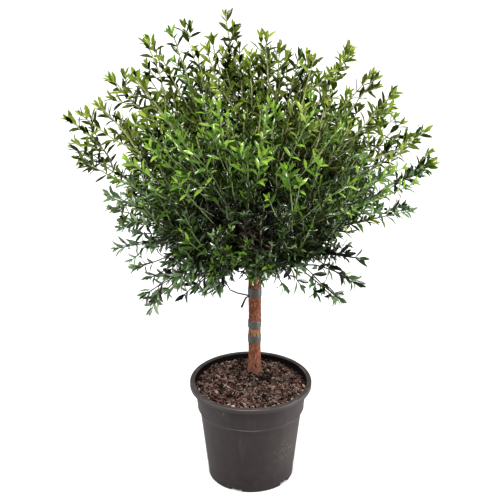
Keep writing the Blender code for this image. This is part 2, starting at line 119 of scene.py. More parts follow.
# The pot's finish: heights of the foot band's edge and of the lip's band of dust and painted highlight, and
# the two marks
FOOT_BAND_EDGE = (0.024, 0.036)
LIP_DUST_AND_HIGHLIGHT_EDGE = (0.1965, 0.2065)
LIP_DUST_AND_HIGHLIGHT = 0.20
STREAK_DUST = 0.16
SCUFF_PLACE = (0.074, -0.058, 0.085)
SCUFF_REACH = 0.050
STAIN_PLACE = (-0.052, -0.098, 0.190)
STAIN_REACH = 0.022
STAIN_COLOUR = (0.110, 0.115, 0.075)

# Shades, as shares of the plain colours: the pot's bands, foot and inside, the inside darker as painted
# shade in the pot's mouth; dark and pale strips of bark; grime and dust on a tie; patches on twigs
BAND_SHADE = 0.90
FOOT_SHADE = 0.82
INSIDE_PAINTED_SHADE = 0.30
DARK_STRIP_SHADE = 0.48
PALE_STRIP_SHADE = 1.60
PALE_STRIP_LIFT = 0.02
GRIME_SHADE = 0.5
DUST_SHADE = 1.9
STEM_SHADES = (0.70, 1.25)

# Compost, as in the solid model: it fills the pot, whose body is this wide level with its floor
FLOOR_RADIUS = 0.0853
MOUTH_HEIGHT = 0.2056
SOIL_EDGE_HEIGHT = 0.195
SOIL_PATCH_RADIUS = 0.022
GAP = 0.0003

# The compost's surface, and how far chips and fibres stay from the trunk's middle
SOIL_RINGS = 56
SOIL_SIDES = 144
SOIL_SIDE_HEIGHTS = (0.17, RIDGE_HEIGHT, BODY_TOP_HEIGHT, 0.07, POT_FLOOR + GAP)
BROAD_LUMPS = 95.0
FINE_LUMPS = 260.0
FINE_LUMP_SHARE = 0.5
FINE_LUMP_LAYER = 7.0
TRUNK_CLEARANCE = 0.0155

# Share of the chips by colour
CHIP_SHARES = {
    "black": 0.38,
    "umber": 0.16,
    "bark": 0.15,
    "purple": 0.10,
    "red": 0.06,
    "tan": 0.08,
    "straw": 0.05,
    "moss": 0.02,
}
CHIP_COLOURS = tuple(CHIP_SHARES)

# Patches of one colour: x, y, spread, share of the chips there, colour
CHIP_PATCHES = (
    (0.044, 0.012, 0.022, 0.75, "black"),
    (-0.020, -0.010, 0.024, 0.45, "black"),
    (0.020, 0.008, 0.020, 0.65, "black"),
    (-0.015, 0.040, 0.018, 0.60, "black"),
    (-0.046, 0.030, 0.017, 0.65, "purple"),
    (0.084, 0.014, 0.026, 0.45, "purple"),
    (0.088, 0.006, 0.020, 0.25, "red"),
    (0.012, -0.084, 0.014, 0.45, "red"),
    (0.050, 0.060, 0.020, 0.12, "moss"),
)

# Straw-coloured chips along the front rim: where they start from trunk to pot, and their share
RIM_START = 0.88
RIM_BAND = 0.10
RIM_SHARE = 0.25

# Chips that can be told apart: x, y, bearing, length, colour
LOOSE_CHIPS = (
    (-0.057, 0.012, -38.0, 0.027, "tan"),
    (-0.052, -0.014, -50.0, 0.013, "tan"),
    (-0.046, -0.022, -40.0, 0.012, "straw"),
    (0.094, -0.014, 15.0, 0.014, "red"),
    (0.012, -0.082, 20.0, 0.011, "red"),
    (0.004, -0.090, -15.0, 0.009, "red"),
    (-0.080, -0.028, 70.0, 0.011, "straw"),
    (0.046, -0.070, -30.0, 0.012, "tan"),
)
LOOSE_CHIP_SHAPE = (1.0, 0.22, 0.14)
LOOSE_CHIP_LIFT = 0.0016

# Other chips: how far out they lie as a share of the compost's width; shortest, what the longest has on
# top, and how rare long ones are; width and thickness as shares of the length, and lift as a share of the
# thickness; ragged share of each corner; spread of their slant
CHIP_EDGE = 0.985
CHIP_SHORTEST = 0.0017
CHIP_LONGER = 0.0066
CHIP_RARITY = 4.0
CHIP_WIDTHS = (0.22, 0.70)
CHIP_THICKNESSES = (0.15, 0.45)
CHIP_LIFTS = (0.0, 0.9)
CHIP_RAGGED = 0.28
CHIP_SLANT = 0.38
CHIP_SHARP_ANGLE = 30.0

# Curled fibres that can be told apart: x, y, bearing, degrees of bend, length
LOOSE_FIBRES = (
    (-0.075, 0.074, 5.0, -150.0, 0.020),
    (-0.010, -0.055, 20.0, 170.0, 0.019),
    (0.006, -0.050, -10.0, -160.0, 0.018),
    (-0.014, -0.062, -40.0, 120.0, 0.014),
    (0.014, -0.060, 60.0, -140.0, 0.014),
    (0.040, 0.066, -5.0, 60.0, 0.026),
    (0.040, -0.052, -35.0, 40.0, 0.026),
    (-0.034, -0.040, 80.0, 160.0, 0.016),
)
LOOSE_FIBRE_RADIUS = 0.00062

# Other fibres
FIBRE_EDGE = 0.95
FIBRE_POINTS = 11
FIBRE_SIDES = 4
FIBRE_BEND = 4.6
FIBRE_LENGTHS = (0.004, 0.015)
FIBRE_RADII = (0.00020, 0.00046)
FIBRE_LIFT = 0.0012
FIBRE_ARCH = (0.0003, 0.0028)

# Trunk, as in the solid model
TRUNK_X = 0.0071
TRUNK_Y = 0.0370
TRUNK_FOOT = 0.2070
TRUNK_LEAN = 0.0015
FORK_HEIGHT = 0.4880
FLARE_LOBES = 5
BARK_RIBS = 3
BARK_RIB_DEPTH = 0.025
BARK_TWIST = 60.0

# Its sections: height above the foot, radius, share by which the root lobes stand out
TRUNK_SECTIONS = (
    (0.0000, 0.0150, 0.10),
    (0.0080, 0.0137, 0.07),
    (0.0250, 0.0123, 0.02),
    (0.0500, 0.0119, 0.00),
    (0.1200, 0.0121, 0.00),
    (0.2000, 0.0124, 0.00),
    (0.2350, 0.0132, 0.00),
    (0.2580, 0.0178, 0.00),
    (0.2780, 0.0226, 0.00),
    (0.2920, 0.0200, 0.00),
    (0.2990, 0.0110, 0.00),
)

# The bark's relief: noise across and along the stem, and the share of each kind
TRUNK_SIDES = 112
TRUNK_ROWS = 300
STRIP_NOISE = (330.0, 42.0)
PLATE_NOISE = (150.0, 38.0)
PIT_NOISE = (210.0, 130.0)
STRIP_SHARE = 0.55
PLATE_SHARE = 0.45
PLATE_EDGE = 6.0
PIT_START = 0.34
PIT_DEPTH = 1.4
RELIEF_UNDER_TIE = 0.1
TIE_MARGIN = 0.001

# The peeled place in the bark
PEELED_SPOT = (0.0080, 0.0260, 0.2975)
PEELED_REACH = 0.018
PEELED_COLOUR = (0.380, 0.245, 0.135)
FOOT_STAIN_EDGE = (TRUNK_FOOT + 0.004, TRUNK_FOOT + 0.036)

# The small bare twigs round the stem: name, radius, then points from their foot
BARE_TWIGS = (
    ("twig", 0.0016, (
        (-0.0035, 0.033, 0.3745), (-0.0265, 0.033, 0.3800),
        (-0.0400, 0.030, 0.3880), (-0.0470, 0.027, 0.4030))),
    ("tip", 0.0023, (
        (-0.0180, 0.032, 0.3495), (-0.0140, 0.033, 0.3590),
        (-0.0100, 0.034, 0.3685), (-0.0040, 0.034, 0.3725))),
    ("stub", 0.0021, (
        (0.0060, -0.013, 0.1985), (0.0058, -0.014, 0.2060),
        (0.0062, -0.014, 0.2150), (0.0056, -0.015, 0.2235))),
)
BARE_TWIG_POINTS = 10
BARE_TWIG_SIDES = 7
BARE_TWIG_TAPER = 0.6

# Ties: points round and across, where the winding starts on the lowest and how much later on the next,
# how far round the outer turn goes, and the shape of its seam and edges
TIE_SIDES = 96
TIE_ROWS = 15
TIE_START = 0.62
TIE_START_STEP = 0.20
TIE_LAP = 0.80
TIE_CROWN = 0.35
TIE_STEP = 0.15
TIE_SEAM = 0.52
TIE_SEAM_SHIFT = 0.05
TIE_SEAM_WIDTH = 0.05
TIE_SEAM_SHARE = 0.75
TIE_EDGE = 0.20
TIE_WAVES = ((2.0, 0.0006), (5.0, 0.0003))
TIE_INSET = 0.0002
TIE_SHARP_ANGLE = 50.0

# Boughs, as in the solid model, with more points and the bark's relief
BOUGH_POINTS = 22
BOUGH_SIDES = 12
BOUGH_RELIEF = 0.6
BOUGH_REACH = 0.100
BOUGH_BASE_RADIUS = 0.0040
BOUGH_TIP_RADIUS = 0.0027
BOUGH_STRAIGHT = 0.045

# Tiers of the crown, as in the solid model: name, masses, degrees up, first bearing, bough's drop
TIERS = (
    ("top", 1, 89.0, 0.0, -0.004),
    ("upper", 6, 60.0, 24.0, 0.000),
    ("middle", 8, 29.0, 11.0, 0.006),
    ("lower", 7, -5.0, 38.6, 0.014),
)

# How far the shoots reach from the fork, by degrees up
REACH = (
    (-35.0, 0.185),
    (-10.0, 0.215),
    (0.0, 0.235),
    (12.0, 0.255),
    (20.0, 0.295),
    (28.0, 0.360),
    (40.0, 0.390),
    (60.0, 0.410),
    (90.0, 0.425),
)
CROWN_FLOOR = -35.0
SHORT_SKIRT = 0.24
SKIRT_TOP = 25.0

# The longest shoots: bearing from +X, degrees up, reach from the fork
LEADERS = (
    (180, 83, 0.446),
    (-155, 69, 0.457),
    (146, 68, 0.433),
    (166, 62, 0.437),
    (-70, 82, 0.420),
    (36, 71, 0.372),
    (-24, 73, 0.390),
    (0, 66, 0.418),
    (16, 54, 0.392),
    (-15, 51, 0.407),
    (20, 37, 0.366),
    (-9, 37, 0.396),
    (0, 26, 0.376),
    (-6, 14, 0.306),
    (-17, -3, 0.214),
    (10, -27, 0.238),
    (-24, -27, 0.203),
    (-62, 31, 0.385),
    (-93, 42, 0.395),
    (-122, 32, 0.385),
    (-160, 57, 0.420),
    (176, 50, 0.420),
    (-168, 45, 0.412),
    (180, 35, 0.430),
    (168, 26, 0.400),
    (-170, 22, 0.305),
    (169, 5, 0.272),
    (-172, 0, 0.272),
    (-165, -22, 0.243),
    (62, 32, 0.385),
    (92, 44, 0.395),
    (121, 33, 0.380),
)

# Bright shoots at the front: bearing and degrees up of the tip and of the foot, leaf size, length in leaf
FRONT_SHOOTS = (
    ((-80, 40), (-71, 26), 1.12, 0.070),
    ((-96, 45), (-94, 36), 1.05, 0.085),
    ((-129, 51), (-97, 28), 1.00, 0.095),
    ((-138, 38), (-112, 32), 1.00, 0.120),
    ((-117, 20), (-122, -4), 1.00, 0.050),
    ((-107, 57), (-104, 45), 0.95, 0.110),
    ((-88, 44), (-91, 38), 1.00, 0.080),
    ((-20, 27), (-67, 29), 1.00, 0.170),
    ((-32, 34), (-69, 30), 1.00, 0.140),
    ((-57, 49), (-74, 42), 0.95, 0.110),
    ((-114, 38), (-109, 36), 0.95, 0.090),
    ((-130, 43), (-116, 38), 1.00, 0.110),
    ((-115, 57), (-107, 50), 0.90, 0.100),
    ((-113, 44), (-106, 38), 0.90, 0.090),
    ((-68, 53), (-79, 43), 0.90, 0.100),
    ((-116, 36), (-106, 24), 0.85, 0.060),
    ((-84, 58), (-88, 48), 0.90, 0.100),
    ((-86, 34), (-78, 31), 0.90, 0.040),
    ((-76, 37), (-74, 30), 1.00, 0.030),
    ((-58, 35), (-68, 29), 0.85, 0.080),
    ((-58, 28), (-62, 27), 0.80, 0.060),
    ((-92, -1), (-94, 6), 0.85, 0.050),
    ((-136, 47), (-120, 42), 0.95, 0.080),
    ((-123, 47), (-112, 42), 0.95, 0.070),
    ((-106, 49), (-101, 43), 0.90, 0.070),
)
FRONT_TIP_SHARE = 0.96
FRONT_FOOT_SHARE = 0.62
FRONT_BEND = 0.007

# Shoots that make the outline besides the leaders: to the right of the fork, and above it; their depths
# are spread
EDGE_SHOOTS = (
    (-0.080, 0.400), (-0.030, 0.385), (-0.090, 0.380), (-0.060, 0.375), (0.010, 0.405),
    (0.045, 0.385), (0.080, 0.370), (0.100, 0.360), (-0.010, 0.370), (-0.200, 0.390),
    (-0.170, 0.360), (-0.200, 0.330), (-0.225, 0.325), (-0.265, 0.320), (-0.210, 0.315),
    (-0.290, 0.270), (-0.345, 0.245), (-0.325, 0.255), (-0.345, 0.190), (-0.330, 0.165),
    (0.170, 0.380), (0.145, 0.340), (0.220, 0.325), (0.255, 0.295), (0.230, 0.255),
    (0.275, 0.240), (0.310, 0.220), (0.300, 0.200), (0.335, 0.160), (0.315, 0.140),
    (0.295, 0.065), (0.230, 0.045), (0.190, 0.020), (0.165, 0.010), (0.205, -0.095),
    (0.160, -0.125), (0.095, -0.100), (0.060, -0.105), (-0.280, 0.090), (-0.275, 0.065),
    (-0.260, 0.040), (-0.235, 0.015), (-0.265, -0.010), (-0.240, -0.060), (-0.210, -0.080),
    (-0.220, -0.115), (-0.200, -0.125), (-0.175, -0.110), (-0.145, -0.120), (-0.120, -0.100),
    (-0.080, -0.110), (-0.100, -0.112), (-0.090, -0.100), (0.250, 0.100), (0.235, 0.075),
)
EDGE_DEPTH = 0.05

# How far apart the tips of outline shoots, and of the many other outer shoots, stay from the long ones
EDGE_SPACING = 0.020
OUTER_SPACING = 0.026

# How the many shoots are spread round the fork: turn from one to the next, bias to the top, spreads, and
# limits of the rise's sine
GOLDEN_TURN = math.radians(137.5)
TOP_BIAS = 0.84
TURN_SPREAD = 0.10
RISE_SPREAD = 0.02
RISE_LIMITS = (-0.6, 0.999)

# How far the many shoots between the leaders reach, as shares of the crown's reach, by degrees up
FILL = (
    (-35.0, 0.86),
    (-10.0, 0.95),
    (5.0, 0.96),
    (20.0, 0.95),
    (40.0, 0.97),
    (90.0, 1.00),
)

# How much shorter they are at the right, below this many degrees up
SHORT_RIGHT = 0.36
SHORT_RIGHT_TOP = 35.0
SHORT_RIGHT_BAND = 20.0

# Clumps in the outline: how many across, how deep, and the noise level at which they are as long as given
CLUMPS_ACROSS = 4.5
CLUMP_DEPTH = 0.26
CLUMP_LEVEL = 0.3

# The dent in the outline at the top right: bearing and degrees up, degrees across, depth
DENT_PLACE = (0.0, 72.0)
DENT_ACROSS = 22.0
DENT_DEPTH = 0.34

# How much higher the lowest shoots are in front than behind, in degrees up
FRONT_RISE = 33.0

# The largest share of the low shoots that is missing at the sides, and over how many degrees it grows
LOW_LOSS = 0.75
LOW_LOSS_BAND = 25.0

# The open place at the front, through which the fork shows: its direction, size, and where it starts.
# Wood is bare and old in a wider place than the one where leaves are dry; its edge is ragged
WINDOW_PLACE = (-94.0, 24.0)
WINDOW_RADIUS = 0.026
WINDOW_STRETCH = 1.8
WINDOW_START = 0.055
WINDOW_RAGGED = (0.3, 1.4)
WOOD_WINDOW = 1.5

# Shoots: points in each, how much they wander, and how far the leaves at a tip stand out past it
SHOOT_POINTS = 9
SHOOT_WANDER = 0.0007
TUFT = 0.010

# Where a shoot leaves the wood: cost of a sharp turn, cost of a shoot that would be too short, distance
# between the places, least number of them, and the share of a shoot past which there are none
TURN_COST = 1.6
SHORT_COST = 1.0
NODE_STEP = 0.014
LEAST_STEPS = 3
NODES_END = 0.72

# A mass's stem is the shoot nearest its middle, with this much in favour of shoots past this length
STEM_FAVOUR = 0.15
STEM_LENGTH = 0.3

# How shoots turn: low ones droop; the others rise, more of them in front and behind than at the sides
DROOP = 0.16
RISE_START = -5.0
RISE_BAND = 30.0
RISE_AT_SIDES = 0.20

# Side twigs: where on a shoot, how long, how far they spread, and how they and their leaves differ
TWIG_POINTS = 5
TWIG_PLACES = (0.30, 0.78)
TWIG_LENGTHS = (0.024, 0.050)
TWIG_SPREADS = (0.5, 0.9)
TWIG_BEND = 0.4
TWIG_RADIUS = 0.0011
TWIG_GREEN = 0.03
TWIG_LEAFY = 0.05
TWIG_STEP = 0.0095
TWIG_LEAF_SIZE = 0.9
# Their leaves are this much darker, as painted shade within the spray
TWIG_PAINTED_SHADE = 0.3

# Wood: radius at the tips; brown within this distance from the fork and below this height above it, and
# over this band past them; how far back the middle tone goes, against green; pale green above a height
# and behind a plane, partly painted light on stems high up; browner in front
TWIG_TIP_RADIUS = 0.00105
OLD_WOOD = 0.155
SHADED_WOOD = 0.035
WOOD_BAND = 0.03
GREEN_FADE = 1.4
SUNNY_WOOD = 0.170
SUNNY_START = -0.120
BROWN_FRONT = 0.8


class Layer(NamedTuple):
    """A kind of shoot. Its tips lie between nearest and furthest, as shares of the crown's reach. It is at
    least so long and has this radius at its base. It is green and leafy so far back from its tip, with
    pairs of leaves a step apart. Size and slim scale its leaves' length and width, tone is how bright they
    are, and budless is the share of axils without a bud. It bears so many twigs, and turns towards the
    light over its run, by its lift.
    """
    nearest: float = 0.0
    furthest: float = 0.0
    least: float = 0.04
    base: float = 0.0012
    green: float = 0.0
    leafy: float = 0.0
    step: float = 0.012
    size: float = 1.0
    slim: float = 1.0
    tone: float = 0.0
    twigs: int = 0
    budless: float = 1.0
    run: float = 0.08
    lift: float = 0.0


# The inner and middle layers' low tones are painted shade inside the crown
LAYERS = {
    "wood": Layer(least=0.06, run=0.06),
    "inner": Layer(
        nearest=0.40, furthest=0.62, least=0.040, base=0.0011, green=0.03, leafy=0.100, step=0.0100,
        size=1.00, slim=0.60, tone=-3.2, twigs=2, budless=0.40, run=0.035, lift=1.0),
    "middle": Layer(
        nearest=0.60, furthest=0.86, least=0.060, base=0.0012, green=0.06, leafy=0.120, step=0.0120,
        size=0.98, slim=0.68, tone=-1.3, twigs=2, budless=0.60, run=0.055, lift=1.0),
    "outer": Layer(
        nearest=0.82, furthest=1.00, least=0.090, base=0.0015, green=0.15, leafy=0.140, step=0.0145,
        size=1.02, slim=0.98, tone=2.2, twigs=1, budless=0.90, run=0.080, lift=1.0),
    "leader": Layer(
        nearest=1.00, furthest=1.00, least=0.110, base=0.0017, green=0.20, leafy=0.135, step=0.0145,
        size=1.10, slim=1.02, tone=2.2, twigs=1, budless=0.90, run=0.090, lift=0.2),
    "front": Layer(
        nearest=1.00, furthest=1.00, least=0.080, base=0.0009, green=0.18, leafy=0.120, step=0.0125,
        size=0.98, slim=0.88, tone=3.9, twigs=0, budless=0.85, run=0.090, lift=0.0),
}
BRIGHT_TONE = 3.0

# Pairs of leaves: most on a shoot, gaps between the first ones from the tip, spread of the other gaps, and
# the stretch of shoot that gives a pair its heading
MOST_PAIRS = 24
TIP_GAPS = (0.0, 0.0035, 0.0120)
GAP_SPREAD = (0.85, 1.15)
HEADING_STRETCH = 0.004

# Along a shoot from its tip: pair, angle from the stem in degrees, share of full length, youth, share lost
LEAF_GROWTH = (
    (0, 18.0, 0.52, 2.2, 0.00),
    (1, 33.0, 0.80, 1.5, 0.00),
    (2, 41.0, 0.98, 0.0, 0.02),
    (3, 45.0, 1.00, -0.9, 0.05),
    (5, 50.0, 1.00, -1.1, 0.14),
    (8, 56.0, 0.96, -1.1, 0.22),
    (14, 68.0, 0.86, -1.2, 0.45),
)

# Leaves of buds in the axils, against those of the pairs: share of each column above, and more youth
BUD_SHARES = (0.55, 0.45, 1.0, 0.0)
BUD_YOUTH = 0.8
FIRST_BUD = 3

# How leaves differ from their pair's angle, turn, length and width, and how width follows length
ANGLE_SPREAD = 8.0
CROSS_SPREAD = 0.20
TWIST_SPREAD = 0.05
LENGTH_SPREAD = (0.84, 1.12)
WIDTH_SPREAD = (0.80, 1.12)
WIDTH_POWER = 0.8

# How leaves turn their faces up, on an upright shoot and more on a level one, and to the light in front, or
# behind past this depth
FACE_UP = (0.10, 0.60)
FACE_UP_SPREAD = (0.3, 1.3)
LIGHT_TURN = (0.1, 1.1)
LIGHT_UP = 0.4
BACK_START = 0.100

# How leaves curl in radians: on an upright shoot and more on a level one, then by pair from the tip, and
# narrow ones more
CURL = (0.18, 0.40)
CURL_BY_PAIR = ((0, -0.4), (3, 0.9), (8, 1.8))
CURL_SPREAD = 0.28
CURL_NARROW = 0.9
LEAST_CURL = 0.02

# A leaf's blade: how far along each ring of vertices lies, and how wide the leaf is there; fold in radians
LEAF_RINGS = ((0.16, 0.52), (0.50, 1.00), (0.80, 0.64))
PLAIN_LEAF_RINGS = ((0.30, 0.92), (0.70, 0.84))
LEAF_FOLD = 0.38

# Columns of a leaf's row
ROOT, WAY, NORMAL = slice(0, 3), slice(3, 6), slice(6, 9)
LONG, WIDE, CURLED, FINISH = range(9, 13)

# Leaf colours: name, glossiness, oldest leaves, youngest, underside; those of full-grown ones are settings.
# The darker tones serve old leaves and painted shade, the brighter ones young leaves and painted light
LEAF_PALETTES = (
    ("deep", 0.75, (0.001, 0.003, 0.001), (0.240, 0.390, 0.160), (0.200, 0.270, 0.140)),
    ("fresh", 0.34, (0.001, 0.006, 0.001), (0.350, 0.540, 0.060), (0.200, 0.340, 0.060)),
    ("olive", 0.40, (0.006, 0.012, 0.001), (0.390, 0.470, 0.080), (0.310, 0.400, 0.060)),
    ("dry", 0.20, (0.004, 0.003, 0.001), (0.220, 0.180, 0.100), (0.130, 0.110, 0.065)),
)
DEEP, FRESH, OLIVE, DRY = range(len(LEAF_PALETTES))
LEAF_TONES = 6
TONE_SPREAD = 1.45
LEAF_ROUGHNESS = 0.26
PATCH_SHADES = (0.78, 1.22)
UNDERSIDE_SHARE = 0.55
UNDERSIDE_DARKEST = 0.20
DRY_SIZE = 0.75

# Sprays: how much their depth takes off their height over the fork, which gives the crown's low flanks
# painted shade, and the sunny place in front, across and up from the fork, with its spread
DEPTH_FALL = 0.42
SUNNY_PLACE = (-0.08, 0.18)
SUNNY_SPREAD = (0.16, 0.085)

# How bright sprays are: painted light in the sunny place and high up, painted shade lower down, in full
# only for the outer ones; spread
SUNNY_TONE = 0.7
PAINTED_LIGHT_BY_HEIGHT = 0.8
HIGH_LEVEL = 0.16
HIGH_RANGE = (-0.4, 0.06)
HIGH_BAND = 0.25
SHELTERED = 0.6
SHELTERED_BAND = 0.4
SPRAY_SPREAD = 0.9

# Inner sprays high up stand against the sky, and get painted light
SKY_LEVEL = 0.09
SKY_BAND = 0.08
SKY_PAINTED_LIGHT = 2.2

# Bright shoots get painted shade below this height
BRIGHT_LOW = 0.05
BRIGHT_LOW_PAINTED_SHADE = 1.2

# Low sprays, whose deep greens are painted shade: under which height, with spread; how much brighter; and
# the fresh ones low in front
LOW_HEIGHT = (0.090, 0.035)
LOW_TONE = 1.7
LOW_SPREAD = 1.2
LOW_FRONT_HEIGHT = 0.03
LOW_FRONT_DEPTH = -0.06
LOW_FRONT_SHARE = 0.40
LOW_FRONT_LOSS = 2.0

# Front sprays: mixed tones in the sunny place, painted shade under this height; which are fresh and not
# olive
SUNNY_MIX = (-0.9, 1.6)
DULL_DEPTH = -0.08
DULL_UNDER = 0.22
FRONT_LOW_PAINTED_SHADE = 1.3
FRESH_SUN = (0.35, 0.35)
FRESH_DEPTH = -0.16

# Leaf size of sprays: smaller towards the front's middle, which is so many degrees up, larger at the top
FRONT_UP = 25.0
SPRAY_SIZE = 0.97
FRONT_SMALLER = 0.25
TOP_START = 0.20
TOP_LARGER = 0.05
TOP_STEP = 0.10
LEAFY_SPREAD = (0.8, 1.15)

# The lowest outer sprays, from this far under the fork, are thin: shares of size, width, step and length
THIN_DROP = 0.01
THIN_SIZE = 1.06
THIN_SLIM = 0.95
THIN_STEP = 1.80
THIN_LEAFY = 0.80

# Studio: half the floor's width, the share of light that it throws back, and each light's place, size and
# target
FLOOR_HALF = 5.5
FLOOR_BOUNCE = 0.45
LIGHTS = {
    "ceiling": ((0.0, 2.0, 5.0), 18.0, (0.0, 2.0, 0.0)),
    "key": ((-0.5, -1.8, 2.8), 1.4, (0.0, 0.0, 0.5)),
    "glint": ((-0.3, -1.6, 3.0), 1.0, (0.0, 0.0, 0.6)),
    "left": ((-1.0, -0.35, 0.15), 0.5, (0.0, 0.0, 0.12)),
    "right": ((1.0, -0.25, 0.15), 0.5, (0.0, 0.0, 0.12)),
}
RIGHT_SHARE = 2.4

UP = np.array((0.0, 0.0, 1.0))
FORK = np.array((TRUNK_X + TRUNK_LEAN, TRUNK_Y, FORK_HEIGHT))


# Settings

def metres(name, description, default):
    """A setting in metres."""
    return FloatProperty(name=name, description=description, default=default, unit="LENGTH")


def tint(name, description, *default):
    """A setting that is a colour."""
    return FloatVectorProperty(name=name, description=description, default=default, subtype="COLOR")


def watts(name, description, default):
    """A setting in watts."""
    return FloatProperty(name=name, description=description, default=default, unit="POWER")


class PotSettings(bpy.types.PropertyGroup):
    """The pot's sizes and colours."""
    height: metres("Height", "Height of the pot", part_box("pot")[1].z)
    lip_radius: metres("Lip radius", "Outside of the lip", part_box("pot")[1].x)
    base_radius: metres("Base radius", "Outside of the bottom edge", BASE_RADIUS)
    wall: metres("Wall", "Thickness of the wall", POT_WALL)
    sides: IntProperty(name="Sides", description="Points round the pot", default=160)
    panels: IntProperty(name="Panels", description="Faint upright panels round the body", default=20)
    plastic: tint("Plastic", "Colour of the clean plastic", 0.0440, 0.0335, 0.0328)
    dust: tint("Dust", "Colour of dust and scuffs", 0.165, 0.142, 0.136)


class CompostSettings(bpy.types.PropertyGroup):
    """What lies on the compost, and its colours."""
    seed: IntProperty(name="Seed", description="Start of the random draws", default=7)
    chips: IntProperty(name="Chips", description="Chips of bark and peat on top", default=9000)
    fibres: IntProperty(name="Fibres", description="Curled fibres on top", default=900)
    lump: metres("Lumps", "Height of the lumps in the surface", 0.0016)
    peat: tint("Peat", "Colour of damp peat", 0.010, 0.0055, 0.0045)
    bark: tint("Bark chips", "Colour of bark chips", 0.145, 0.080, 0.063)
    straw: tint("Straw", "Colour of pale chips and fibres", 0.520, 0.400, 0.335)


class StemSettings(bpy.types.PropertyGroup):
    """The bark's relief and colours."""
    seed: IntProperty(name="Seed", description="Place of the bark's pattern", default=3)
    relief: metres("Relief", "Depth of the bark's strips", 0.00065)
    bark: tint("Bark", "Colour of the fibrous bark", 0.295, 0.119, 0.068)
    dark: tint("Dark bark", "Colour of pits and old strips", 0.050, 0.022, 0.014)
    foot: tint("Foot", "Colour of the bark near the compost", 0.190, 0.095, 0.085)
    stub: tint("Stub", "Colour of the small stub at the foot", 0.170, 0.135, 0.138)


class TieSettings(bpy.types.PropertyGroup):
    """The ties' thickness and colour."""
    thickness: metres("Thickness", "Thickness of a tie", 0.0009)
    colour: tint("Colour", "Colour of the ties", 0.090, 0.092, 0.085)


class CrownSettings(bpy.types.PropertyGroup):
    """How many shoots there are, the size of leaves, and the colours of leaves and stems."""
    seed: IntProperty(name="Seed", description="Start of the random draws", default=41)
    outer: IntProperty(name="Outer shoots", description="Shoots that reach the outline", default=400)
    middle: IntProperty(name="Middle shoots", description="Shoots that end under the outline", default=620)
    inner: IntProperty(name="Inner shoots", description="Short old twigs round the middle", default=520)
    leaf_length: metres("Leaf length", "Length of a full-grown leaf", 0.0260)
    leaf_width: metres("Leaf width", "Width of a full-grown leaf", 0.0090)
    # These greens go by place: deep is partly painted shade low down and inside, fresh partly painted light
    # in front, olive partly painted backlight at the top and edges
    deep: tint("Deep", "Green of full-grown leaves low down and inside", 0.062, 0.178, 0.048)
    fresh: tint("Fresh", "Green of full-grown leaves at the front", 0.044, 0.142, 0.008)
    olive: tint("Olive", "Green of full-grown leaves at the top and edges", 0.115, 0.204, 0.010)
    dry: tint("Dry", "Brown of dry leaves round the fork", 0.190, 0.165, 0.090)
    green_stem: tint("Green stem", "Colour of young stems", 0.260, 0.330, 0.130)
    # Young stems high up take this paler colour, partly painted light
    sunny_stem: tint("Sunny stem", "Colour of young stems near the top", 0.460, 0.500, 0.220)
    brown_stem: tint("Brown stem", "Colour of woody twigs", 0.040, 0.026, 0.016)


class StageSettings(bpy.types.PropertyGroup):
    """The camera's place, the floor, and the power of the lights."""
    camera_x: metres("Camera across", "Camera's place along X", -0.0015)
    camera_distance: metres("Camera distance", "Camera's distance in front", 2.100)
    camera_height: metres("Camera height", "Camera's height", 1.376)
    pitch: FloatProperty(
        name="Pitch", description="How far the camera looks down", default=math.radians(23.0),
        subtype="ANGLE")
    lens: FloatProperty(name="Lens", description="Focal length in millimetres", default=87.12)
    floor: tint("Floor", "Colour of the floor", 0.90, 0.90, 0.90)
    sky: FloatProperty(name="Surround", description="Strength of the white surround", default=0.12)
    ceiling: watts("Ceiling light", "Power of the soft light overhead", 1550.0)
    key: watts("Key light", "Power of the key light", 30.0)
    glints: watts("Glints", "Power of the light for glints only", 150.0)
    sides: watts("Side lights", "Power of each side light", 4.0)


# Meshes

BLOCK_FACES = ((0, 1, 3, 2), (4, 6, 7, 5), (0, 4, 5, 1), (2, 3, 7, 6), (0, 2, 6, 4), (1, 5, 7, 3))


def new_object(name, data):
    """An object with this data, in the scene."""
    made = bpy.data.objects.new(name, data)
    bpy.context.scene.collection.objects.link(made)
    return made


def make_piece(name, verts, faces, materials, replaced=(), picks=None, sharp=None):
    """An object of this mesh, which rides on the plant and stands for the solids named."""
    mesh = bpy.data.meshes.new(name)
    mesh.from_pydata(np.asarray(verts).tolist(), [], faces)
    for material in materials:
        mesh.materials.append(material)
    if picks is not None:
        mesh.polygons.foreach_set("material_index", np.asarray(picks, dtype=np.int32))
    mesh.shade_smooth()
    if sharp is not None:
        mesh.set_sharp_from_angle(angle=math.radians(sharp))
    piece = new_object(name, mesh)
    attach(piece, BODY)
    if replaced:
        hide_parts(*replaced)
    return piece


def unit(vectors):
    """Vectors scaled to length one."""
    return vectors / np.maximum(np.linalg.norm(vectors, axis=-1, keepdims=True), 1e-12)


def along(table, value):
    """The later columns of a table, read off at these values of its first column."""
    rows = np.array(table)
    columns = [np.interp(value, rows[:, 0], rows[:, k]) for k in range(1, rows.shape[1])]
    return columns[0] if len(columns) == 1 else columns


def grid_faces(rows, columns):
    """Quads between closed rows of vertices."""
    faces = []
    for i in range(rows - 1):
        low = i * columns
        high = low + columns
        for j in range(columns):
            k = (j + 1) % columns
            faces.append((low + j, low + k, high + k, high + j))
    return faces


def closed_faces(rows, columns):
    """Quads between closed rows of vertices, and one face across each end."""
    faces = grid_faces(rows, columns)
    faces.append(tuple(reversed(range(columns))))
    faces.append(tuple(range((rows - 1) * columns, rows * columns)))
    return faces


def turns_round(count):
    """Angles in radians, evenly round a full turn."""
    return 2.0 * math.pi * np.arange(count) / count


def circle(count):
    """Unit directions round a level circle."""
    turns = turns_round(count)
    return np.stack((np.cos(turns), np.sin(turns), np.zeros(count)), axis=-1)


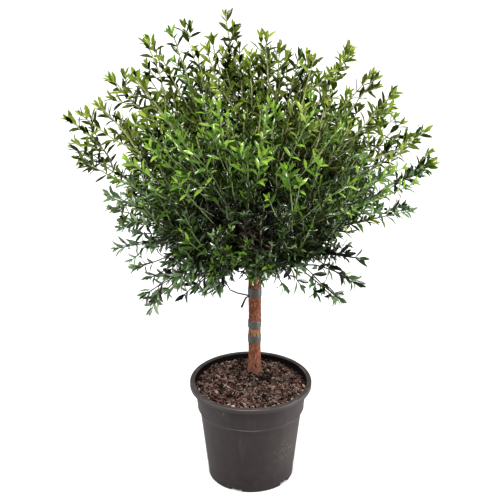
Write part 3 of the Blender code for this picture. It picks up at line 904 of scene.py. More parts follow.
def tubes(paths, radii, sides):
    """Vertices and quads of many tubes at once: paths is limbs by points by 3, radii limbs by points."""
    limbs, points = paths.shape[:2]
    tangents = unit(np.gradient(paths, axis=1))
    spans = unit(paths[:, -1] - paths[:, 0])
    across = unit(np.cross(spans, np.where(np.abs(spans[:, 2:]) > 0.9, (1.0, 0.0, 0.0), UP)))[:, None]
    first = unit(across - (across * tangents).sum(-1, keepdims=True) * tangents)
    second = np.cross(tangents, first)
    turns = turns_round(sides)
    outs = (
        first[:, :, None] * np.cos(turns)[:, None]
        + second[:, :, None] * np.sin(turns)[:, None]
    )
    verts = (paths[:, :, None] + outs * radii[:, :, None, None]).reshape(-1, 3)
    one = np.array(grid_faces(points, sides))
    faces = (one[None] + (np.arange(limbs) * points * sides)[:, None, None]).reshape(-1, 4)
    return verts, faces


def block_corners(lengths, widths, heights):
    """The corners of a block between these pairs of values, in the order that BLOCK_FACES takes them."""
    return [(x, y, z) for x in lengths for y in widths for z in heights]


def flecks(sizes, spots, ways, slants, rng):
    """Vertices and faces of many small ragged blocks, each lying at its spot along its own way."""
    count = len(spots)
    ends = (-0.5, 0.5)
    corners = np.array(block_corners(ends, ends, ends))
    shape = corners[None] * (1.0 + rng.uniform(-CHIP_RAGGED, CHIP_RAGGED, (count, 8, 3)))
    shape = shape * sizes[:, None]
    long_way = np.stack((np.cos(ways) * np.cos(slants), np.sin(ways) * np.cos(slants), np.sin(slants)), -1)
    side = unit(np.cross(UP, long_way))
    top = np.cross(long_way, side)
    verts = (
        shape[..., :1] * long_way[:, None]
        + shape[..., 1:2] * side[:, None]
        + shape[..., 2:] * top[:, None]
        + spots[:, None]
    ).reshape(-1, 3)
    faces = (np.array(BLOCK_FACES)[None] + (np.arange(count) * 8)[:, None, None]).reshape(-1, 4)
    return verts, faces


# Shared finishes

def new_group(name, inputs, outputs):
    """An empty shader group with these sockets; inputs are name, type and default."""
    group = bpy.data.node_groups.new(name, "ShaderNodeTree")
    for label, kind, default in inputs:
        socket = group.interface.new_socket(name=label, in_out="INPUT", socket_type=kind)
        socket.default_value = default
    for label, kind in outputs:
        group.interface.new_socket(name=label, in_out="OUTPUT", socket_type=kind)
    group.nodes.new("NodeGroupInput")
    group.nodes.new("NodeGroupOutput")
    return group


def group_ends(group):
    """A shader group's input and output nodes."""
    return group.nodes["Group Input"], group.nodes["Group Output"]


def connect(tree, *wires):
    """Link nodes; each wire is a node, its output, another node and its input."""
    for source, output, target, entry in wires:
        tree.links.new(source.outputs[output], target.inputs[entry])


def mottle_group():
    """Cloudy patches: a mask from 0 to 1, with its own size, stretch and sharpness."""
    found = bpy.data.node_groups.get("Mottle")
    if found:
        return found
    group = new_group(
        "Mottle",
        (
            ("Stretch", "NodeSocketVector", (1.0, 1.0, 1.0)),
            ("Scale", "NodeSocketFloat", 100.0),
            ("Detail", "NodeSocketFloat", 4.0),
            ("Low", "NodeSocketFloat", 0.4),
            ("High", "NodeSocketFloat", 0.6),
        ),
        (("Mask", "NodeSocketFloat"), ("Height", "NodeSocketFloat")),
    )
    start, end = group_ends(group)
    place = group.nodes.new("ShaderNodeTexCoord")
    stretch = group.nodes.new("ShaderNodeVectorMath")
    stretch.operation = "MULTIPLY"
    clouds = group.nodes.new("ShaderNodeTexNoise")
    sharpen = group.nodes.new("ShaderNodeMapRange")
    sharpen.interpolation_type = "SMOOTHSTEP"
    connect(
        group,
        (place, "Object", stretch, 0),
        (start, "Stretch", stretch, 1),
        (stretch, "Vector", clouds, "Vector"),
        (start, "Scale", clouds, "Scale"),
        (start, "Detail", clouds, "Detail"),
        (clouds, "Fac", sharpen, "Value"),
        (start, "Low", sharpen, "From Min"),
        (start, "High", sharpen, "From Max"),
        (sharpen, "Result", end, "Mask"),
        (clouds, "Fac", end, "Height"),
    )
    return group


def dusting_group():
    """Dust that lies in patches and gathers where the surface faces up."""
    found = bpy.data.node_groups.get("Dusting")
    if found:
        return found
    group = new_group(
        "Dusting",
        (
            ("Scale", "NodeSocketFloat", 60.0),
            ("Sides", "NodeSocketFloat", 0.2),
            ("Tops", "NodeSocketFloat", 0.7),
        ),
        (("Mask", "NodeSocketFloat"),),
    )
    start, end = group_ends(group)
    patches = group.nodes.new("ShaderNodeGroup")
    patches.node_tree = mottle_group()
    patches.inputs["Low"].default_value = 0.35
    patches.inputs["High"].default_value = 0.75
    shape = group.nodes.new("ShaderNodeNewGeometry")
    split = group.nodes.new("ShaderNodeSeparateXYZ")
    facing = group.nodes.new("ShaderNodeMapRange")
    amount = group.nodes.new("ShaderNodeMath")
    amount.operation = "MULTIPLY"
    connect(
        group,
        (start, "Scale", patches, "Scale"),
        (shape, "Normal", split, "Vector"),
        (split, "Z", facing, "Value"),
        (start, "Sides", facing, "To Min"),
        (start, "Tops", facing, "To Max"),
        (facing, "Result", amount, 0),
        (patches, "Mask", amount, 1),
        (amount, "Value", end, "Mask"),
    )
    return group


# Materials

class Finish:
    """A material in the making, with short calls for the nodes that this plant's finishes share."""

    def __init__(self, name, colour, roughness, gloss=0.5):
        """A plain material, with gloss as its specular level."""
        self.material = bpy.data.materials.new(name)
        self.material.use_nodes = True
        self.nodes = self.material.node_tree.nodes
        self.links = self.material.node_tree.links
        self.shader = self.nodes["Principled BSDF"]
        self.shader.inputs["Base Color"].default_value = (*colour, 1.0)
        self.shader.inputs["Roughness"].default_value = roughness
        self.shader.inputs["Specular IOR Level"].default_value = gloss
        self.material.diffuse_color = (*colour, 1.0)

    def feed(self, socket, value):
        """Link a socket to another one, or give it a plain value."""
        if isinstance(value, bpy.types.NodeSocket):
            self.links.new(value, socket)
        else:
            socket.default_value = value

    def group(self, tree, **values):
        """A shared group with these values in its sockets."""
        node = self.nodes.new("ShaderNodeGroup")
        node.node_tree = tree
        for label, value in values.items():
            node.inputs[label].default_value = value
        return node

    def mottle(self, **values):
        """Cloudy patches."""
        return self.group(mottle_group(), **values)

    def blend(self, mask, under, over):
        """One colour over another where the mask is 1; each is a socket or a plain colour."""
        node = self.nodes.new("ShaderNodeMix")
        node.data_type = "RGBA"
        self.links.new(mask, node.inputs["Factor"])
        for label, tone in (("A", under), ("B", over)):
            plain = not isinstance(tone, bpy.types.NodeSocket)
            self.feed(node.inputs[label], (*tone, 1.0) if plain else tone)
        return node.outputs["Result"]

    def maths(self, operation, first, second):
        """What this operation makes of two values; each is a socket or a number."""
        node = self.nodes.new("ShaderNodeMath")
        node.operation = operation
        self.feed(node.inputs[0], first)
        self.feed(node.inputs[1], second)
        return node.outputs["Value"]

    def ramp(self, value, before, after):
        """A value brought from one range to another, and held between its ends."""
        node = self.nodes.new("ShaderNodeMapRange")
        node.inputs["From Min"].default_value, node.inputs["From Max"].default_value = before
        node.inputs["To Min"].default_value, node.inputs["To Max"].default_value = after
        self.links.new(value, node.inputs["Value"])
        return node.outputs["Result"]

    def height_mask(self, low, high):
        """A mask that rises from 0 to 1 between two heights."""
        place = self.nodes.new("ShaderNodeTexCoord")
        split = self.nodes.new("ShaderNodeSeparateXYZ")
        self.links.new(place.outputs["Object"], split.inputs["Vector"])
        return self.ramp(split.outputs["Z"], (low, high), (0.0, 1.0))

    def near(self, place, reach):
        """A mask that falls from 1 at a place to 0 this far from it."""
        coordinates = self.nodes.new("ShaderNodeTexCoord")
        off = self.nodes.new("ShaderNodeVectorMath")
        off.operation = "DISTANCE"
        off.inputs[1].default_value = place
        self.links.new(coordinates.outputs["Object"], off.inputs[0])
        return self.ramp(off.outputs["Value"], (0.0, reach), (1.0, 0.0))

    def colour(self, socket):
        """Take the base colour from a socket."""
        self.links.new(socket, self.shader.inputs["Base Color"])

    def roughness(self, mask, low, high):
        """Roughness between these two, as the mask goes from 0 to 1."""
        self.links.new(self.ramp(mask, (0.0, 1.0), (low, high)), self.shader.inputs["Roughness"])

    def bump(self, height, distance, strength=1.0):
        """Fine relief in the shading alone."""
        node = self.nodes.new("ShaderNodeBump")
        node.inputs["Strength"].default_value = strength
        node.inputs["Distance"].default_value = distance
        self.links.new(height, node.inputs["Height"])
        self.links.new(node.outputs["Normal"], self.shader.inputs["Normal"])


def pot_plastic(settings):
    """Matt dark nursery plastic: upright bands, dust and painted highlight round the lip, scuffs at the
    right and a green stain.
    """
    plastic = settings.plastic
    finish = Finish("pot_plastic", plastic, 0.5)
    bands = finish.mottle(Stretch=(1.0, 1.0, 0.05), Scale=34.0, Detail=3.0, Low=0.36, High=0.70)
    tone = finish.blend(bands.outputs["Mask"], shaded(plastic, BAND_SHADE), plastic)
    foot = finish.maths("SUBTRACT", 1.0, finish.height_mask(*FOOT_BAND_EDGE))
    tone = finish.blend(foot, tone, shaded(plastic, FOOT_SHADE))
    streaks = finish.mottle(Stretch=(1.0, 1.0, 0.12), Scale=90.0, Detail=5.0, Low=0.50, High=0.80)
    dust = finish.group(dusting_group(), Scale=60.0, Sides=0.06, Tops=0.75)
    # The lip is lighter all round its band: dust and painted highlight
    lip = finish.maths("MULTIPLY", finish.height_mask(*LIP_DUST_AND_HIGHLIGHT_EDGE), LIP_DUST_AND_HIGHLIGHT)
    mask = finish.maths("MAXIMUM", finish.maths("MULTIPLY", streaks.outputs["Mask"], STREAK_DUST), lip)
    mask = finish.maths("MAXIMUM", mask, dust.outputs["Mask"])
    specks = finish.mottle(Stretch=(1.0, 1.0, 0.6), Scale=300.0, Detail=4.0, Low=0.50, High=0.66)
    scuffs = finish.maths("MULTIPLY", finish.near(SCUFF_PLACE, SCUFF_REACH), specks.outputs["Mask"])
    mask = finish.maths("MAXIMUM", mask, scuffs)
    tone = finish.blend(mask, tone, settings.dust)
    stain = finish.maths("MULTIPLY", finish.near(STAIN_PLACE, STAIN_REACH), specks.outputs["Mask"])
    finish.colour(finish.blend(stain, tone, STAIN_COLOUR))
    finish.roughness(mask, 0.40, 0.66)
    fine = finish.mottle(Scale=900.0, Detail=3.0)
    finish.bump(fine.outputs["Height"], 0.00008, 0.6)
    return finish.material


def compost_peat(settings):
    """Damp dark peat between the chips."""
    finish = Finish("compost_peat", settings.peat, 0.95, 0.1)
    crumbs = finish.mottle(Scale=520.0, Detail=6.0, Low=0.42, High=0.66)
    finish.colour(finish.blend(crumbs.outputs["Mask"], settings.peat, settings.bark))
    finish.roughness(crumbs.outputs["Mask"], 0.70, 1.0)
    finish.bump(crumbs.outputs["Height"], 0.0012)
    return finish.material


def stem_bark(settings):
    """Fibrous red-brown bark with dark pits and a peeled patch, duller and purpler near the compost."""
    bark = settings.bark
    finish = Finish("stem_bark", bark, 0.85, 0.2)
    strips = finish.mottle(Stretch=(1.0, 1.0, 0.28), Scale=520.0, Detail=6.0, Low=0.40, High=0.62)
    pits = finish.mottle(Stretch=(1.0, 1.0, 0.6), Scale=190.0, Detail=4.0, Low=0.60, High=0.66)
    pale = finish.mottle(Stretch=(1.0, 1.0, 0.35), Scale=380.0, Detail=5.0, Low=0.50, High=0.64)
    light = [value * PALE_STRIP_SHADE + PALE_STRIP_LIFT for value in bark]
    tone = finish.blend(strips.outputs["Mask"], shaded(bark, DARK_STRIP_SHADE), bark)
    tone = finish.blend(finish.maths("MULTIPLY", pale.outputs["Mask"], 0.75), tone, light)
    patch = finish.maths("MULTIPLY", finish.near(PEELED_SPOT, PEELED_REACH), 2.0)
    peeled = finish.maths("MULTIPLY", finish.maths("MINIMUM", patch, 1.0), strips.outputs["Mask"])
    tone = finish.blend(peeled, tone, PEELED_COLOUR)
    low = finish.maths("SUBTRACT", 1.0, finish.height_mask(*FOOT_STAIN_EDGE))
    tone = finish.blend(finish.maths("MULTIPLY", low, 0.5), tone, settings.foot)
    finish.colour(finish.blend(pits.outputs["Mask"], tone, settings.dark))
    finish.roughness(strips.outputs["Mask"], 0.75, 0.95)
    finish.bump(strips.outputs["Height"], 0.0012)
    return finish.material


def tie_plastic(settings):
    """Soft grey-green tie tube, a little dusty."""
    finish = Finish("tie_plastic", settings.colour, 0.5)
    dust = finish.group(dusting_group(), Scale=120.0, Sides=0.35, Tops=0.8)
    grime = finish.mottle(Stretch=(0.3, 0.3, 1.0), Scale=500.0, Detail=4.0, Low=0.45, High=0.75)
    dirt = finish.maths("MULTIPLY", grime.outputs["Mask"], 0.6)
    tone = finish.blend(dirt, settings.colour, shaded(settings.colour, GRIME_SHADE))
    finish.colour(finish.blend(dust.outputs["Mask"], tone, shaded(settings.colour, DUST_SHADE)))
    finish.roughness(grime.outputs["Mask"], 0.42, 0.70)
    finish.bump(grime.outputs["Height"], 0.0002)
    return finish.material


def plain_finish(name, colour, roughness):
    """One plain dull colour, for small things that are dealt out many to a piece."""
    return Finish(name, colour, roughness, 0.15).material


def shaded(colour, share):
    """A colour made this much darker or lighter."""
    return [value * share for value in colour]


def mixed(first, second, share):
    """A colour or point this far from the first to the second."""
    return tuple(a + (b - a) * share for a, b in zip(first, second))


# Pot

def arc(centre, radius, first, last, count):
    """Points of an arc in the pot's profile, between two angles in degrees."""
    points = []
    for i in range(count):
        turn = math.radians(first + (last - first) * i / (count - 1))
        points.append((centre[0] + radius * math.cos(turn), centre[1] + radius * math.sin(turn)))
    return points


def run(start, end, count):
    """Points of a straight stretch of the profile, without its last point."""
    return [mixed(start, end, i / count) for i in range(count)]


def pot_profile(settings):
    """Radius and height from the middle of the underside, up the outside, over the lip, and down inside."""
    top = settings.height
    lip = settings.lip_radius
    base = settings.base_radius
    wall = settings.wall
    behind_lip = lip - LIP_THICKNESS
    under_lip = top - LIP_THICKNESS
    lip_bottom = top - LIP_DROP
    half_lip = LIP_THICKNESS * 0.5
    foot_inner = (FOOT_RADIUS - FOOT_STEP, FOOT_HEIGHT)
    foot_outer = (FOOT_RADIUS, FOOT_HEIGHT + FOOT_STEP)
    slope_out, slope_down = RIDGE_SLOPE
    profile = run((MIDDLE_RADIUS, 0.0), (base - BASE_BEVEL, 0.0), 6)
    profile += arc((base - BASE_BEVEL, BASE_BEVEL), BASE_BEVEL, -90.0, 0.0, 4)
    profile += run((base, BASE_BEVEL * 1.5), foot_inner, 10)
    profile += run(foot_inner, foot_outer, 3)
    profile += run(foot_outer, (BODY_TOP_RADIUS, BODY_TOP_HEIGHT), 34)
    profile += arc((BODY_TOP_RADIUS + SHOULDER_ROUND, BODY_TOP_HEIGHT), SHOULDER_ROUND, 180.0, 115.0, 6)
    slope_start = (RIDGE_RADIUS - slope_out, RIDGE_HEIGHT - slope_down)
    profile += run(slope_start, (RIDGE_RADIUS, RIDGE_HEIGHT - slope_out), 4)
    profile += arc((RIDGE_RADIUS, RIDGE_HEIGHT), RIDGE_BEAD, -70.0, 70.0, 6)
    profile += run(COLLAR_START, (COLLAR_TOP_RADIUS, under_lip), 14)
    profile += run((COLLAR_TOP_RADIUS, under_lip), (behind_lip, under_lip), 3)
    profile += run((behind_lip, under_lip), (behind_lip, lip_bottom + LIP_INSIDE_START), 4)
    profile += arc((lip - half_lip, lip_bottom + half_lip), half_lip, 180.0, 360.0, 9)
    profile += run((lip, lip_bottom + LIP_SIDE_START), (lip, top - LIP_ROUND), 4)
    profile += arc((lip - LIP_ROUND, top - LIP_ROUND), LIP_ROUND, 0.0, 82.0, 7)
    for groove in LIP_GROOVES:
        middle = lip - groove
        profile += [
            (middle + GROOVE_HALF_WIDTH, top),
            (middle, top - GROOVE_DEPTH),
            (middle - GROOVE_HALF_WIDTH, top),
        ]
    profile += arc((MOUTH_RADIUS + MOUTH_ROUND, top - MOUTH_ROUND), MOUTH_ROUND, 90.0, 180.0, 6)
    profile += run((MOUTH_RADIUS, top - MOUTH_START), (RIDGE_RADIUS - wall, RIDGE_HEIGHT), 10)
    profile += run((RIDGE_RADIUS - wall, RIDGE_HEIGHT), (BODY_TOP_RADIUS - wall, BODY_TOP_HEIGHT), 3)
    profile += run((BODY_TOP_RADIUS - wall, BODY_TOP_HEIGHT), (base - wall, POT_FLOOR), 20)
    profile += run((base - wall, POT_FLOOR), (MIDDLE_RADIUS, POT_FLOOR), 6)
    return np.array(profile + [(MIDDLE_RADIUS, POT_FLOOR)])


def turned_verts(profile, sides, panels):
    """The profile turned round the pot's axis, with the body a little hollow between its panels."""
    ways = circle(sides)
    verts = profile[:, :1, None] * ways[None] + profile[:, 1:, None] * UP
    outside = np.arange(len(profile)) < int(np.argmax(profile[:, 0]))
    rise = np.clip((profile[:, 1] - FOOT_HEIGHT) / PANEL_FADE, 0.0, 1.0)
    fall = np.clip((BODY_TOP_HEIGHT - profile[:, 1]) / PANEL_FADE, 0.0, 1.0)
    depth = PANEL_DEPTH * rise * fall * outside
    hollow = np.abs(np.sin(turns_round(sides) * panels * 0.5))
    return verts - depth[:, None, None] * hollow[None, :, None] * ways


def build_pot(settings):
    """The turned pot, with faint upright panels on its body and slots in its bottom edge."""
    profile = pot_profile(settings)
    sides = settings.sides
    verts = turned_verts(profile, sides, settings.panels)
    past_rim = np.arange(len(profile) - 1) > np.argmax(profile[:, 1])
    inside = (profile[:-1, 0] < MOUTH_RADIUS + MOUTH_SLACK) & past_rim
    picks = np.concatenate((np.repeat(inside.astype(int), sides), (0, 1)))
    # The inside of the pot is painted darker, as painted shade within its mouth
    painted_shade_colour = shaded(settings.plastic, INSIDE_PAINTED_SHADE)
    finishes = [pot_plastic(settings), plain_finish("pot_inside_painted_shade", painted_shade_colour, 0.8)]
    faces = closed_faces(len(profile), sides)
    pot = make_piece("nursery_pot", verts.reshape(-1, 3), faces, finishes, ["pot"], picks=picks)
    cut_drain_slots(pot, settings.base_radius)
    pot.data.shade_smooth()
    pot.data.set_sharp_from_angle(angle=math.radians(POT_SHARP_ANGLE))


def slot_blocks(base_radius):
    """One object with a block for each drain slot, across the pot's bottom edge."""
    half = SLOT_WIDTH * 0.5
    block = block_corners((-SLOT_DEPTH, SLOT_DEPTH), (-half, half), (-SLOT_HEIGHT, SLOT_HEIGHT))
    verts = []
    faces = []
    for i in range(SLOT_COUNT):
        turn = math.radians(SLOT_FIRST_BEARING + 360.0 / SLOT_COUNT * i)
        out = Vector((math.cos(turn), math.sin(turn), 0.0))
        side = Vector((-out.y, out.x, 0.0))
        first = len(verts)
        verts += [out * (base_radius + x) + side * y + Vector((0.0, 0.0, z)) for x, y, z in block]
        faces += [tuple(first + k for k in face) for face in BLOCK_FACES]
    mesh = bpy.data.meshes.new("slot_blocks")
    mesh.from_pydata(verts, [], faces)
    return new_object("slot_blocks", mesh)


def cut_drain_slots(pot, base_radius):
    """Cut the slots with blocks, then drop the blocks."""
    blocks = slot_blocks(base_radius)
    cut = pot.modifiers.new("drain_slots", "BOOLEAN")
    cut.operation = "DIFFERENCE"
    cut.object = blocks
    bpy.context.view_layer.update()
    depsgraph = bpy.context.evaluated_depsgraph_get()
    done = bpy.data.meshes.new_from_object(pot.evaluated_get(depsgraph))
    pot.modifiers.clear()
    pot.data = done
    bpy.data.objects.remove(blocks, do_unlink=True)


# Compost

def soil_rings(share):
    """Middle, radius and height of the compost's surface, from its patch under the trunk to the pot."""
    patch = np.array((TRUNK_X, TRUNK_Y))
    fall = share * share * (3.0 - 2.0 * share)
    edge_radius = soil_wall(SOIL_EDGE_HEIGHT)
    middle = patch * (1.0 - share)[..., None]
    radius = SOIL_PATCH_RADIUS + (edge_radius - SOIL_PATCH_RADIUS) * share
    height = TRUNK_FOOT - GAP + (SOIL_EDGE_HEIGHT - TRUNK_FOOT + GAP) * fall
    return middle, radius, height


def soil_wall(height):
    """Radius of the compost's side at this height."""
    inset = POT_WALL + GAP
    sections = (
        (POT_FLOOR, FLOOR_RADIUS - inset),
        (BODY_TOP_HEIGHT, BODY_TOP_RADIUS - inset),
        (RIDGE_HEIGHT, RIDGE_RADIUS - inset),
        (MOUTH_HEIGHT, MOUTH_RADIUS - GAP),
    )
    return float(along(sections, height))


def soil_share(spots):
    """Where these points, seen from above, lie between the patch (0) and the pot (1)."""
    patch = np.array((TRUNK_X, TRUNK_Y))
    widening = soil_wall(SOIL_EDGE_HEIGHT) - SOIL_PATCH_RADIUS
    off = spots - patch
    a = patch @ patch - widening ** 2
    b = 2.0 * (off @ patch) - 2.0 * SOIL_PATCH_RADIUS * widening
    c = (off * off).sum(-1) - SOIL_PATCH_RADIUS ** 2
    root = np.sqrt(np.maximum(b * b - 4.0 * a * c, 0.0))
    return np.clip((-b - root) / (2.0 * a), 0.0, 1.0)


def soil_height(spots, lump):
    """Height of the compost's lumpy surface at these points, seen from above."""
    share = soil_share(spots)
    height = soil_rings(share)[2]
    lumps = np.array([
        noise.noise((x * BROAD_LUMPS, y * BROAD_LUMPS, 0.0))
        + FINE_LUMP_SHARE * noise.noise((x * FINE_LUMPS, y * FINE_LUMPS, FINE_LUMP_LAYER))
        for x, y in spots
    ])
    return height + lumps * lump * np.sin(math.pi * np.clip(share, 0.0, 1.0))


def build_compost(settings):
    """The body of the compost: its lumpy top, and its side down to the pot's floor."""
    shares = np.linspace(0.0, 1.0, SOIL_RINGS)
    middle, radius, _ = soil_rings(shares)
    flat = (middle[:, None] + radius[:, None, None] * circle(SOIL_SIDES)[None, :, :2]).reshape(-1, 2)
    top = np.concatenate((flat, soil_height(flat, settings.lump)[:, None]), axis=1)
    side_rows = [circle(SOIL_SIDES) * soil_wall(height) + UP * height for height in SOIL_SIDE_HEIGHTS]
    verts = np.concatenate([top] + side_rows)
    faces = [tuple(reversed(face)) for face in closed_faces(SOIL_RINGS + len(side_rows), SOIL_SIDES)]
    make_piece("compost_body", verts, faces, [compost_peat(settings)], ["compost"])


def chip_finishes(settings):
    """Chips from nearly black peat to pale straw, with some red bark and a little moss."""
    peat, bark, straw = settings.peat, settings.bark, settings.straw
    colours = {
        "black": peat,
        "umber": mixed(peat, bark, 0.35),
        "bark": bark,
        "purple": (0.105, 0.070, 0.066),
        "red": (0.200, 0.088, 0.060),
        "tan": mixed(bark, straw, 0.40),
        "straw": straw,
        "moss": (0.062, 0.066, 0.030),
    }
    return [plain_finish(f"chip_{name}", colours[name], 0.85) for name in CHIP_COLOURS]


def soil_spots(count, rng, edge):
    """Points scattered evenly over this share of the compost's width, clear of the trunk's foot."""
    spots = []
    widest = soil_wall(SOIL_EDGE_HEIGHT) * edge
    while len(spots) < count:
        spot = rng.uniform(-widest, widest, 2)
        if np.hypot(*spot) < widest and np.hypot(*(spot - (TRUNK_X, TRUNK_Y))) > TRUNK_CLEARANCE:
            spots.append(spot)
    return np.array(spots)


def chip_picks(spots, rng):
    """Each chip's colour by number: dealt out by share, then straw on the front rim, then the patches."""
    count = len(spots)
    draw = rng.random(count)
    shares = np.cumsum(list(CHIP_SHARES.values()))
    picks = np.searchsorted(shares, draw).clip(0, len(CHIP_COLOURS) - 1)
    rim = np.clip((soil_share(spots) - RIM_START) / RIM_BAND, 0.0, 1.0) * (spots[:, 1] < 0.0)
    picks = np.where(rng.random(count) < RIM_SHARE * rim, CHIP_COLOURS.index("straw"), picks)
    for x, y, spread, share, colour in CHIP_PATCHES:
        off = np.hypot(*(spots - (x, y)).T) / spread
        picks = np.where(rng.random(count) < share * np.exp(-off ** 2), CHIP_COLOURS.index(colour), picks)
    return picks


def scatter_chips(settings):
    """Ragged chips in all sizes, most of them small."""
    rng = np.random.default_rng(settings.seed)
    count = settings.chips
    spots = soil_spots(count, rng, CHIP_EDGE)
    long = CHIP_SHORTEST + CHIP_LONGER * rng.random(count) ** CHIP_RARITY
    wide = long * rng.uniform(*CHIP_WIDTHS, count)
    thick = long * rng.uniform(*CHIP_THICKNESSES, count)
    sizes = np.stack((long, wide, thick), -1)
    ways = rng.uniform(0.0, 2.0 * math.pi, count)
    picks = chip_picks(spots, rng)
    loose = np.arange(count) < len(LOOSE_CHIPS)
    placed = np.array([chip[:4] for chip in LOOSE_CHIPS])
    spots[loose] = placed[:, :2]
    ways[loose] = np.radians(placed[:, 2])
    sizes[loose] = placed[:, 3:] * LOOSE_CHIP_SHAPE
    picks[loose] = [CHIP_COLOURS.index(chip[4]) for chip in LOOSE_CHIPS]
    lift = np.where(loose, LOOSE_CHIP_LIFT, sizes[:, 2] * rng.uniform(*CHIP_LIFTS, count))
    heights = soil_height(spots, settings.lump) + lift
    places = np.concatenate((spots, heights[:, None]), axis=1)
    slants = rng.normal(0.0, CHIP_SLANT, count) * ~loose
    verts, faces = flecks(sizes, places, ways, slants, rng)
    make_piece(
        "compost_chips", verts, faces.tolist(), chip_finishes(settings),
        picks=np.repeat(picks, len(BLOCK_FACES)), sharp=CHIP_SHARP_ANGLE)


def scatter_fibres(settings):
    """Curled fibres in three browns that lie on the compost, the loose ones pale."""
    rng = np.random.default_rng(settings.seed + 1)
    count = settings.fibres
    spots = soil_spots(count, rng, FIBRE_EDGE)
    steps = np.linspace(-0.5, 0.5, FIBRE_POINTS)
    ways = rng.uniform(0.0, 2.0 * math.pi, count)
    bends = rng.uniform(-FIBRE_BEND, FIBRE_BEND, count)
    lengths = rng.uniform(*FIBRE_LENGTHS, count)
    radii = rng.uniform(*FIBRE_RADII, count)
    loose = np.arange(count) < len(LOOSE_FIBRES)
    placed = np.array(LOOSE_FIBRES)
    spots[loose] = placed[:, :2]
    ways[loose] = np.radians(placed[:, 2])
    bends[loose] = np.radians(placed[:, 3])
    lengths[loose] = placed[:, 4]
    radii[loose] = LOOSE_FIBRE_RADIUS
    turns = ways[:, None] + bends[:, None] * steps
    level = np.stack((np.cos(turns), np.sin(turns)), -1)
    path = np.cumsum(level * (lengths / FIBRE_POINTS)[:, None, None], axis=1)
    path += (spots - path.mean(axis=1))[:, None]
    ground = soil_height(path.reshape(-1, 2), settings.lump).reshape(count, FIBRE_POINTS)
    arch = rng.uniform(*FIBRE_ARCH, count)[:, None] * np.cos(math.pi * steps)
    paths = np.concatenate((path, (ground + FIBRE_LIFT + arch)[..., None]), axis=-1)
    verts, faces = tubes(paths, radii[:, None] * np.ones(FIBRE_POINTS), FIBRE_SIDES)
    bark, straw = settings.bark, settings.straw
    finishes = [
        plain_finish("fibre_pale", straw, 0.8),
        plain_finish("fibre_tan", mixed(bark, straw, 0.40), 0.85),
        plain_finish("fibre_brown", mixed(bark, straw, 0.10), 0.85),
    ]
    kinds = rng.integers(0, len(finishes), count) * ~loose
    picks = np.repeat(kinds, (FIBRE_POINTS - 1) * FIBRE_SIDES)
    make_piece("compost_fibres", verts, faces.tolist(), finishes, picks=picks)


# Trunk, boughs and ties

def trunk_centre(heights):
    """The middle of the trunk at each height."""
    lean = TRUNK_LEAN * (heights - TRUNK_FOOT) / (FORK_HEIGHT - TRUNK_FOOT)
    return np.stack((TRUNK_X + lean, np.full_like(lean, TRUNK_Y), heights), axis=-1)


def trunk_rings(heights, sides, clearance=0.0):
    """Points round the trunk at each height, this far outside its bark."""
    above = heights - TRUNK_FOOT
    radius, lobes = along(TRUNK_SECTIONS, above)
    turns = turns_round(sides)
    ribs = BARK_RIB_DEPTH * np.sin(BARK_RIBS * turns + BARK_TWIST * above[:, None])
    flare = lobes[:, None] * np.cos(FLARE_LOBES * turns)
    reach = radius[:, None] * (1.0 + ribs + flare) + clearance
    return trunk_centre(heights)[:, None] + reach[..., None] * circle(sides)


def bark_noise(spot, scale, shift):
    """Noise at a spot, drawn out along the stem: scale is across it and along it."""
    across, upward = scale
    return noise.noise((spot[0] * across, spot[1] * across, spot[2] * upward + shift))


def bark_relief(spot, seed):
    """How far the bark stands out at a spot, from -1 to 1: long strips, flaking plates and round pits."""
    strips = bark_noise(spot, STRIP_NOISE, seed)
    plates = math.tanh(PLATE_EDGE * bark_noise(spot, PLATE_NOISE, -seed))
    pits = max(0.0, bark_noise(spot, PIT_NOISE, 2.0 * seed) - PIT_START)
    return STRIP_SHARE * strips + PLATE_SHARE * plates - PIT_DEPTH * pits


def build_trunk(bark, settings):
    """The trunk's bark in relief, from its flat foot to its knuckled head."""
    heights = np.linspace(TRUNK_FOOT, TRUNK_FOOT + TRUNK_SECTIONS[-1][0], TRUNK_ROWS)
    rings = trunk_rings(heights, TRUNK_SIDES)
    relief = np.array([bark_relief(spot, settings.seed) for spot in rings.reshape(-1, 3)])
    relief = relief.reshape(TRUNK_ROWS, TRUNK_SIDES)
    for tie in tie_nodes():
        low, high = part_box(tie)
        under = (heights > low.z - TIE_MARGIN) & (heights < high.z + TIE_MARGIN)
        relief[under] = np.minimum(relief[under], RELIEF_UNDER_TIE)
    rings = rings + (relief * settings.relief)[..., None] * circle(TRUNK_SIDES)
    rings[0, :, 2] = TRUNK_FOOT
    faces = closed_faces(TRUNK_ROWS, TRUNK_SIDES)
    make_piece("trunk_bark", rings.reshape(-1, 3), faces, [bark], ["trunk"])


def tie_nodes():
    """The ties' solids."""
    return [name for name in sorted(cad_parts) if name.startswith("tie_")]


def curve_points(start, middle, end, count):
    """Points of the smooth curve from start to end that leans towards middle."""
    t = np.linspace(0.0, 1.0, count)[:, None]
    return start * (1.0 - t) ** 2 + middle * (2.0 * t * (1.0 - t)) + end * t ** 2


def build_boughs(bark, settings):
    """The boughs, each one tapering limb with bark in relief, from the trunk's head to its mass."""
    paths = []
    names = []
    for name, _, direction, drop in tier_masses():
        start = trunk_centre(np.array((FORK_HEIGHT - drop,)))[0]
        end = FORK + direction * BOUGH_REACH
        paths.append(curve_points(start, end - direction * BOUGH_STRAIGHT, end, BOUGH_POINTS))
        names.append(f"bough_{name}")
    paths = np.array(paths)
    radii = np.tile(np.linspace(BOUGH_BASE_RADIUS, BOUGH_TIP_RADIUS, BOUGH_POINTS), (len(paths), 1))
    verts, faces = tubes(paths, radii, BOUGH_SIDES)
    centres = np.repeat(paths.reshape(-1, 3), BOUGH_SIDES, axis=0)
    relief = np.array([bark_relief(spot, settings.seed) for spot in verts])
    verts = verts + unit(verts - centres) * (relief * settings.relief * BOUGH_RELIEF)[:, None]
    make_piece("bough_bark", verts, faces.tolist(), [bark], names)


